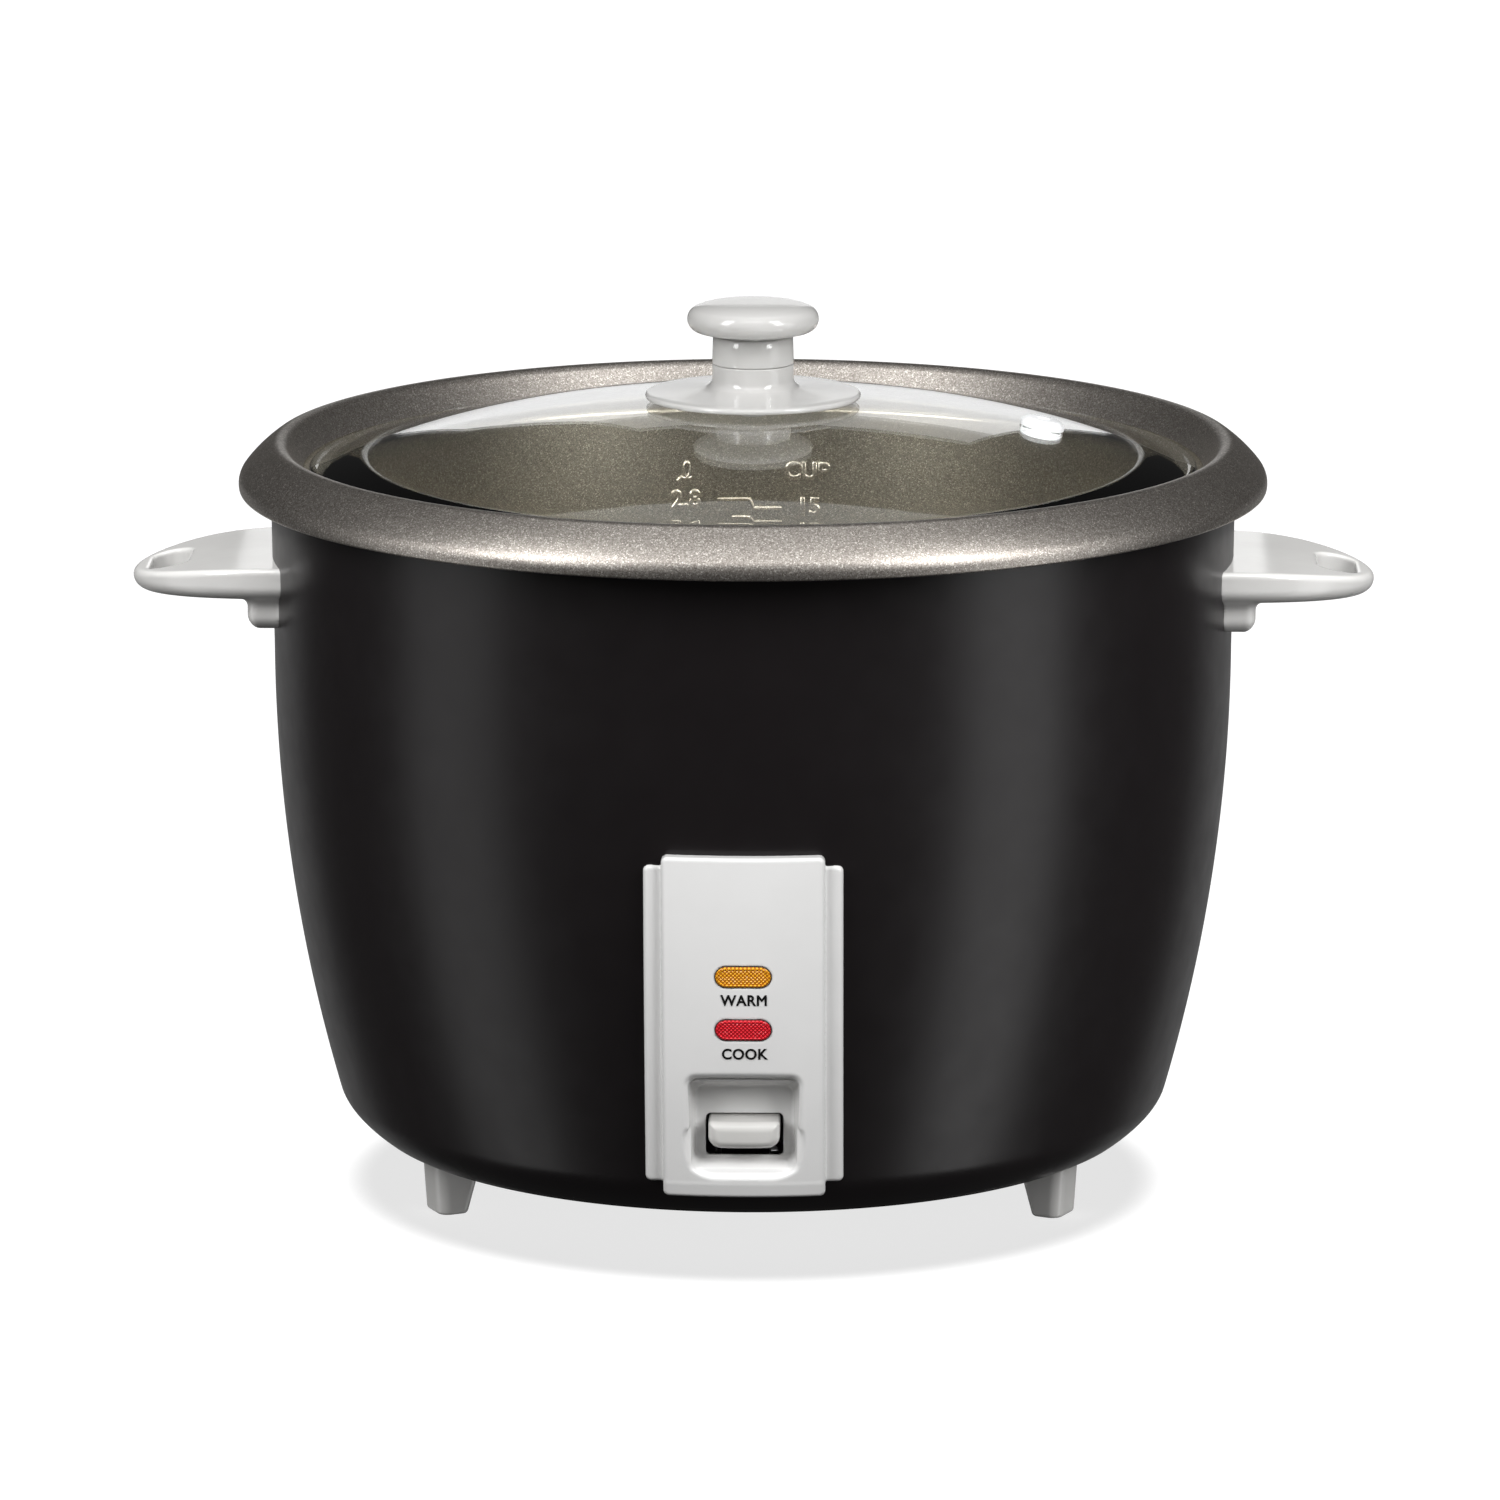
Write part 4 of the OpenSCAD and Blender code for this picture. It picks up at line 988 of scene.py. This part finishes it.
def pot():
    """The pressing: floor, wall, ledge for the lid, and a rolled rim, inside face first."""
    inner = (POT_INNER_R - POT_CORNER_R, POT_FLOOR_Z + POT_CORNER_R)
    profile = [(r, POT_FLOOR_Z) for r in (0, 12, 30, 50, 70, 85)]
    profile += arc(inner, POT_CORNER_R, -90, 0, 16)
    profile += [(POT_INNER_R, z) for z in np.linspace(110, LEDGE_Z - 2, 16)]
    profile += arc((POT_INNER_R + 2, LEDGE_Z - 2), 2, 175, 90, 7)
    profile += arc(LEDGE_END, 2, -90, -32, 5)
    profile += arc(CREST, CREST_R, 148, 56, 14)
    profile += arc(RIM_SLOPE, RIM_SLOPE_R, 55, 39, 10)
    profile += arc(ROLL, ROLL_R, 38, -11, 10)
    profile += arc(ROLL_END, POT_T / 2, -12, -192, 8)
    profile += arc(ROLL, ROLL_R - POT_T, -11, 38, 8)
    profile += arc(RIM_SLOPE, RIM_SLOPE_R - POT_T, 39, 55, 8)
    profile += arc(CREST, CREST_R - POT_T, 56, 148, 10)
    profile += arc(LEDGE_END, 2 + POT_T, -34, -88, 5)
    outer_r = POT_INNER_R + POT_T
    profile += arc((outer_r + 1.6, LEDGE_Z - POT_T - 1.6), 1.6, 90, 180, 5)
    profile += [(outer_r, z) for z in np.linspace(210, 108, 14)]
    profile += arc(inner, POT_CORNER_R + POT_T, 0, -90, 16)
    profile += [(r, POT_LOW[2]) for r in (80, 55, 30, 10, 0)]
    piece = lathe("pot_pressing", profile, 288, closed=False, sharp=60)
    keep(piece, "pot", "pot_coating", "inner_pot")
    piece.data.materials.append(POT_INSIDE_SHADED)
    piece.data.materials.append(POT_LEDGE_SHADED)
    # Faces of the inside wall and of the ledge take the copies of the coat that carry painted shade.
    for face in piece.data.polygons:
        mid = face.center / MM
        r = math.hypot(mid.x, mid.y)
        inside = r < POT_INNER_R + 0.5 and POT_FLOOR_Z - 0.5 < mid.z < LEDGE_Z - 1
        ledge = POT_INNER_R < r < LEDGE_END_R and LEDGE_Z - 1 < mid.z < LEDGE_Z + 3.1
        face.material_index = 1 if inside else 2 if ledge else 0
    return piece


def on_pot(across, up, out):
    """A point on the pot's inner wall at the back, as read from the front."""
    r = POT_INNER_R - out
    turn = across / POT_INNER_R
    return np.stack([r * np.sin(turn), r * np.cos(turn), up], axis=-1)


def pot_marks():
    """Pressed-in scale: litres on the left, cups on the right, and stepped lines between."""
    marks = []
    for k, words in enumerate(("2.8", "2.4", "2.0", "1.6", "1.2", "0.8")):
        marks.append((f"litres_{k}", words, (-23.6, MARK_TOP_Z - LITRE_STEP * k)))
    for k, words in enumerate(("15", "13", "11", "9", "7", "5")):
        marks.append((f"cups_{k}", words, (15.0, MARK_TOP_Z - 2.6 - CUP_STEP * k)))
    marks.append(("cups_word", "CUP", (14.5, 195.0)))
    # The marks use the brighter copy of the coat, which is a painted highlight.
    how = (MARK_H, on_pot, "pot", "pot_coating", POT_MARKS_HIGHLIGHTED, 0.05, 0.2, 0.4)
    pieces = [label(name, words, centre, *how) for name, words, centre in marks]
    # The litre sign: an open loop with a straight tail
    loop = [(-26.2, 192.4)]
    for t in np.linspace(0, 1, 30):
        turn = 2 * math.pi * (t * 1.18 - 0.36)
        loop.append((-23.4 + 1.3 * math.cos(turn) + 1.5 * (t - 0.5), 195.6 + 2.6 * math.sin(turn)))
    rows = []
    for k in range(12):
        left_z = MARK_TOP_Z - LITRE_STEP / 2 * k
        right_z = MARK_TOP_Z - 2.9 - CUP_STEP / 2 * k
        left_x = -13.2 if k % 2 == 0 else -8.8
        rows.append([(left_x, left_z), (-3.6, left_z), (-2.4, right_z), (6.1, right_z)])
    for k, row in enumerate(rows + [loop]):
        fine = []
        for (x0, z0), (x1, z1) in zip(row, row[1:]):
            count = max(2, int(math.hypot(x1 - x0, z1 - z0) / LINE_STEP))
            for i in range(count):
                fine.append((x0 + (x1 - x0) * i / count, z0 + (z1 - z0) * i / count))
        fine.append(row[-1])
        points = np.array(fine)
        path = on_pot(points[:, 0], points[:, 1], np.full(len(points), LINE_OUT))
        pieces.append(tube(f"scale_line_{k}", path, LINE_R, 10))
    marks_piece = join("pot_scale", pieces)
    # The first label already rides the pot, and keep() gives the joined piece its place again
    marks_piece.parent = None
    return keep(marks_piece, "pot", "pot_coating", material=POT_MARKS_HIGHLIGHTED)


# ---- Lid ----

LID_R = GLASS_HIGH[0]
DOME_TOP_Z = GLASS_HIGH[2]
GLASS_T = 4.0
LID_HOLE_R = 3.2
RIM_Z = 221.7
DOME_START_R = 119.0
DOME_RISE = DOME_TOP_Z - RIM_Z
DOME_R = (DOME_START_R**2 + DOME_RISE**2) / (2 * DOME_RISE)
DOME_C = DOME_TOP_Z - DOME_R
VENT_X = 86.0
VENT_TILT = math.asin(VENT_X / DOME_R)
VENT_HOLE_R = 4.4
NECK_R = 12.15
SCREW_HOLE_R = 2.4


def dome_z(r, depth=0.0):
    """Height of the dome's top face at radius r, or of a face that lies deeper."""
    return DOME_C + math.sqrt((DOME_R - depth) ** 2 - r * r)


def lid_glass():
    """The dome, which slopes down to a thin rounded edge, with a drilled hole for the vent."""
    edge = 0.65
    under_z = RIM_Z - GLASS_T
    profile = [(r, dome_z(r)) for r in np.linspace(LID_HOLE_R, 115, 40)]
    profile += [(118, dome_z(118) + 0.02)]
    profile += [(122, RIM_Z - 0.78), (126, RIM_Z - 1.83), (130, RIM_Z - 2.76)]
    profile += arc((LID_R - edge, under_z + edge), edge, 78, -90, 14)
    profile += [(126, under_z + 0.38), (120.5, under_z + 0.72)]
    profile += [(r, dome_z(r, GLASS_T)) for r in np.linspace(116.5, LID_HOLE_R, 40)]
    piece = lathe("lid_dome", profile, 288, closed=True, sharp=60)
    drill = lathe("drill", [(0, -12), (VENT_HOLE_R, -12), (VENT_HOLE_R, 12), (0, 12)], 48, closed=False)
    drill.matrix_world = vent_place()
    bpy.context.view_layer.update()
    modify(piece, "BOOLEAN", object=drill, operation="DIFFERENCE", solver="EXACT")
    bpy.data.objects.remove(drill)
    return keep(piece, "lid", "lid_glass", "lid_glass")


def vent_place():
    """Where the vent sits: on the dome, square to the glass."""
    spot = Vector((VENT_X, 0, dome_z(VENT_X))) * MM
    return Matrix.Translation(spot) @ Matrix.Rotation(VENT_TILT, 4, "Y")


def vent():
    """Moulded grommet: a barbed shank through the glass and a chamfered cap with a bore."""
    bore_r = 1.6
    barb_r = 5.6
    shank_r = VENT_HOLE_R - 0.05
    bottom = -GLASS_T - 1.4
    under = -GLASS_T - 0.04
    seat = 0.12
    profile = [(bore_r, bottom), (barb_r, bottom)]
    profile += arc((barb_r, bottom + 0.5), 0.5, -90, 0, 4)
    profile += [(barb_r + 0.5, under), (shank_r, under), (shank_r, seat), (6.4, seat)]
    profile += arc((6.35, 0.45), 0.3, -60, 20, 4)
    profile += [(6.55, 1.6), (6.3, 1.85), (5.2, 2.75), (4.9, 2.9), (2.2, 2.95), (1.9, 2.7)]
    profile += [(bore_r, 2.3)]
    piece = lathe("steam_vent", profile, 96, closed=True, sharp=30)
    piece.data.transform(vent_place())
    return keep(piece, "lid", "silicone", "vent_grommet")


def knob_base():
    """Flat flange that rises to a filleted neck."""
    base_z = BASE_LOW[2]
    top_z = BASE_HIGH[2]
    edge = 0.9
    cove = 2.6
    profile = [(SCREW_HOLE_R, base_z), (12, base_z), (24, base_z)]
    profile += arc((BASE_HIGH[0] - edge, base_z + edge), edge, -90, 80, 10)
    profile += [(28, base_z + 1.96), (22, base_z + 2.5), (17, base_z + 3.1)]
    profile += arc((NECK_R + cove, base_z + 6.0), cove, 257, 183, 10)
    profile += [(NECK_R, top_z - 0.9)]
    profile += arc((NECK_R - 0.35, top_z - 0.35), 0.35, 0, 90, 4)
    profile += [(SCREW_HOLE_R, top_z)]
    piece = lathe("knob_foot", profile, 160, closed=True, sharp=45)
    return keep(piece, "lid", "grey_plastic", "knob_base")


def knob():
    """Straight neck, a groove, then a cap with a round edge and a flat crown."""
    cap_r, top_z = KNOB_HIGH[0], KNOB_HIGH[2]
    low_z = KNOB_LOW[2]
    cap_z = top_z - 5.4
    round_r = 3.8
    profile = [(2.0, low_z + 0.02), (NECK_R - 0.45, low_z)]
    profile += arc((NECK_R - 0.4, low_z + 0.4), 0.4, -60, 0, 4)
    profile += [(NECK_R - 0.08, low_z + 4)]
    groove = ((-0.2, 5.5), (-0.45, 5.2), (-1.0, 4.95), (-0.9, 4.7), (0.4, 4.5))
    profile += [(NECK_R + out, cap_z - down) for out, down in groove]
    profile += arc((cap_r - round_r, cap_z), round_r, -76, 62, 24)
    crown = ((16.2, 1.5), (14.6, 1.05), (12.8, 0.7), (11, 0.45), (8.5, 0.25), (6, 0.1), (3, 0.03))
    profile += [(r, top_z - down) for r, down in crown]
    profile += [(0, top_z), (0, top_z - 5), (2.0, top_z - 5.2)]
    piece = lathe("knob_cap", profile, 160, closed=True, sharp=45)
    return keep(piece, "lid", "grey_plastic", "knob")


# ---- Gland at the back ----

GLAND_Z = 42.0


def gland():
    """Cord outlet: a flanged bush with a rounded rim round its bore."""
    profile = [(4.4, -7), (5.6, -7), (5.95, -6.6), (5.95, 0.6), (8.1, 0.6)]
    profile += arc((8.0, 1.1), 0.5, -60, 0, 3)
    profile += [(8.5, 2.4)]
    profile += arc((7.3, 2.4), 1.2, 0, 90, 7)
    profile += [(5.6, 3.6), (5.0, 3.2), (4.6, 3.55)]
    profile += arc((4.3, 3.0), 0.6, 80, 180, 6)
    profile += [(3.65, 0.4), (4.4, 0.2)]
    piece = lathe("cord_bush", profile, 96, closed=True, sharp=40)
    tilt = math.atan(arc_slope(GLAND_Z))
    place = Matrix.Translation(Vector((0, float(wall_r(GLAND_Z)), GLAND_Z)) * MM)
    piece.data.transform(place @ Matrix.Rotation(-math.pi / 2 - tilt, 4, "X"))
    return keep(piece, "base", "dark_plastic", "cord_gland")


# ---- Assembly ----

INK = matte("printed_ink", grey(0.006), grey(0.010), (0.55, 0.7), 0.6, 0.002)
INK.node_tree.nodes["Principled BSDF"].inputs["Specular IOR Level"].default_value = 0.1
PRINT_LIFT = 0.07


def on_strip(across, up, out):
    """A point on the face of the panel's strip."""
    return on_wall(across, up, STRIP_OUT + PRINT_LIFT + out)


body_shell()
panel()
lens_piece("warm_lens", WARM_Z, "amber_lens", "amber_lens")
lens_piece("cook_lens", COOK_Z, "red_lens", "red_lens")
# Dark lines round the lenses: painted shade in the seams.
seam_shade_line("warm_seam_shade", WARM_Z)
seam_shade_line("cook_seam_shade", COOK_Z)
PRINT = (3.3, on_strip, "base", "dark_plastic", INK, 0.0, 0.02, 0.11)
label("warm_word", "WARM", (0.3, WARM_Z - 7.2), *PRINT)
label("cook_word", "COOK", (0.3, COOK_Z - 7.5), *PRINT)
paddle()
handles()
feet()
pot()
pot_marks()
lid_glass()
vent()
knob_base()
knob()
gland()

slot_of = {part["node"]: part["material_slot"] for part in frame["record"]["subparts"]}
for node_name, node in frame["nodes"].items():
    node.data.materials.clear()
    node.data.materials.append(FINISHES[slot_of[node_name]])
    node.data.shade_smooth()
    node.data.set_sharp_from_angle(angle=math.radians(32))

# ---- Stage: floor, backdrop, light and camera ----

CARD_Y = 3400
WHITE = (1.0, 1.0, 1.0)
PALE_GRAIN = 900.0


def group(name, objects):
    """A collection that only lights refer to: what they light, or what throws their shadow."""
    found = bpy.data.collections.new(name)
    for obj in objects:
        found.objects.link(obj)
    return found


def camera_only(obj):
    """The object is seen, but takes and gives no light otherwise."""
    obj.visible_diffuse = False
    obj.visible_glossy = False
    obj.visible_transmission = False
    obj.visible_shadow = False
    return obj


def screen(obj, name, strength):
    """Makes an object a pale screen that only the cooker sees."""
    glow = Nodes(name + "_pale")
    glow.set(
        Base_Color=glow.tint(glow.noise(PALE_GRAIN), grey(0.8), grey(0.82)),
        Emission_Color=WHITE,
        Emission_Strength=strength,
    )
    obj.data.materials.append(glow.material)
    obj.visible_camera = False
    obj.visible_shadow = False


def card(name, corners, strength):
    """An upright screen behind the cooker, with (x, z) corners in millimetres."""
    verts = [(x, CARD_Y, z) for x, z in corners]
    screen(new_object(name, verts, [tuple(range(len(verts)))]), name, strength)


def low_sweep(name, heights, start_y, strength):
    """A curved screen round the back, from start_y metres back."""
    wall = lathe(name, [(CARD_Y, heights[0]), (CARD_Y, heights[1])], 96, closed=False)
    work = bmesh.new()
    work.from_mesh(wall.data)
    ahead = [f for f in work.faces if f.calc_center_median().y < start_y]
    bmesh.ops.delete(work, geom=ahead, context="FACES")
    work.to_mesh(wall.data)
    work.free()
    screen(wall, name, strength)


def stage():
    """A pale floor that the camera sees, with cards and a low sweep that only the cooker sees.

    The flag, a thin disc under the drum, is all that shades the floor from the wide sun.
    """
    floor = lathe("floor", [(0, 0), (300, 0), (1500, 0), (7000, 0)], 96, closed=False)
    pale = Nodes("floor_pale")
    pale.set(
        Base_Color=pale.tint(pale.noise(PALE_GRAIN), grey(0.30), grey(0.31)),
        Roughness=0.9,
        Specular_IOR_Level=0.0,
        Emission_Color=WHITE,
        Emission_Strength=0.755,
    )
    floor.data.materials.append(pale.material)
    camera_only(floor)
    top_left, top_right = (-357, 1184), (370, 1184)
    corners = [(-510, 0), (370, 0), top_right, top_left, (-460, 940), (-510, 800)]
    card("card_bright", corners, 0.74)
    card("card_dim", [top_left, top_right, (370, 1460), (-300, 1460)], 0.2)
    low_sweep("sweep_low", (-2200, 0), 2.35, 0.09)
    flag = lathe("shadow_flag", [(0, 9), (122, 9), (122, 10), (0, 10)], 96, closed=False)
    flag.data.materials.append(pale.material)
    camera_only(flag)
    flag.visible_camera = False
    flag.visible_shadow = True
    return floor, flag


def softbox(name, azimuth, elevation, distance, size, power, aim=(0, 0, 130)):
    """An area light. Azimuth is measured from the camera's side, towards +X."""
    lamp = bpy.data.lights.new(name, "AREA")
    lamp.shape = "RECTANGLE"
    lamp.size = size[0] * MM
    lamp.size_y = size[1] * MM
    lamp.energy = power
    obj = add_object(name, lamp)
    a, e = math.radians(azimuth), math.radians(elevation)
    way = Vector((math.sin(a) * math.cos(e), -math.cos(a) * math.cos(e), math.sin(e)))
    target = Vector(aim) * MM
    obj.location = target + way * distance * MM
    obj.rotation_euler = (target - obj.location).to_track_quat("-Z", "Y").to_euler()
    obj.visible_camera = False
    return obj


def lights(floor, flag):
    """Softboxes for the cooker, a broad sun for the floor alone, and a dim world."""
    pieces = [obj for obj in SCENE.objects if obj.type == "MESH" and obj not in (floor, flag)]
    panel_names = ("panel", "warm", "cook", "lever_paddle")
    panel_pieces = [obj for obj in pieces if obj.name.startswith(panel_names)]
    handle_pieces = [obj for obj in pieces if obj.name.startswith("handle_moulding")]
    every = group("cooker_pieces", pieces)
    panel_only = group("panel_pieces", panel_pieces)
    handles_only = group("handle_pieces", handle_pieces)
    no_panel = group("pieces_but_panel", [obj for obj in pieces if obj not in panel_pieces])
    boxes = [
        (softbox("key_left", -50, 36, 1700, (420, 1200), 19), no_panel, every),
        (softbox("key_right", 49, 36, 1700, (420, 1200), 20), no_panel, every),
        (softbox("side_left", -72, -8, 1500, (680, 2600), 5.6), no_panel, every),
        (softbox("side_right", 63.5, -8, 1500, (660, 2600), 9.4), no_panel, every),
        (softbox("front_top", 0, 55, 1700, (900, 600), 4.5), every, every),
        (softbox("overhead", 0, 88, 1500, (1200, 1200), 4.0), every, every),
        (softbox("panel_left", -42, 29, 1700, (900, 700), 19), panel_only, every),
        (softbox("panel_right", 42, 29, 1700, (900, 700), 21.5), panel_only, every),
        (softbox("handle_wash", 0, 66, 1500, (1600, 900), 25), handles_only, handles_only),
    ]
    for box, lit, shading in boxes:
        box.light_linking.receiver_collection = lit
        box.light_linking.blocker_collection = shading
    sun = bpy.data.lights.new("floor_wash", "SUN")
    sun.energy = 4.0
    sun.angle = math.radians(80)
    wash = add_object("floor_wash", sun)
    wash.light_linking.receiver_collection = group("floor_only", [floor])
    wash.light_linking.blocker_collection = group("flag_only", [flag])
    world = bpy.data.worlds.new("studio")
    SCENE.world = world
    world.use_nodes = True
    tree = world.node_tree
    dim = tree.nodes["Background"]
    dim.inputs["Color"].default_value = (*grey(0.03), 1.0)
    bright = tree.nodes.new("ShaderNodeBackground")
    bright.inputs["Color"].default_value = (*WHITE, 1.0)
    path = tree.nodes.new("ShaderNodeLightPath")
    mix = tree.nodes.new("ShaderNodeMixShader")
    tree.links.new(path.outputs["Is Camera Ray"], mix.inputs["Fac"])
    tree.links.new(dim.outputs["Background"], mix.inputs[1])
    tree.links.new(bright.outputs["Background"], mix.inputs[2])
    tree.links.new(mix.outputs["Shader"], tree.nodes["World Output"].inputs["Surface"])
    SCENE.view_settings.view_transform = "Standard"


def camera():
    """The photograph's view: from 2.6 m away, 12 degrees down and a little to the right."""
    distance = 2.6
    height = 0.6879
    azimuth = math.radians(1.15)
    pitch = math.radians(12.08)
    data = bpy.data.cameras.new("camera")
    data.lens = 212.4
    data.sensor_width = 36.0
    data.shift_x = -0.002
    data.clip_end = 50.0
    obj = add_object("camera", data)
    obj.location = (distance * math.sin(azimuth), -distance * math.cos(azimuth), height)
    obj.rotation_euler = (math.pi / 2 - pitch, 0, azimuth)
    SCENE.camera = obj


lights(*stage())
camera()
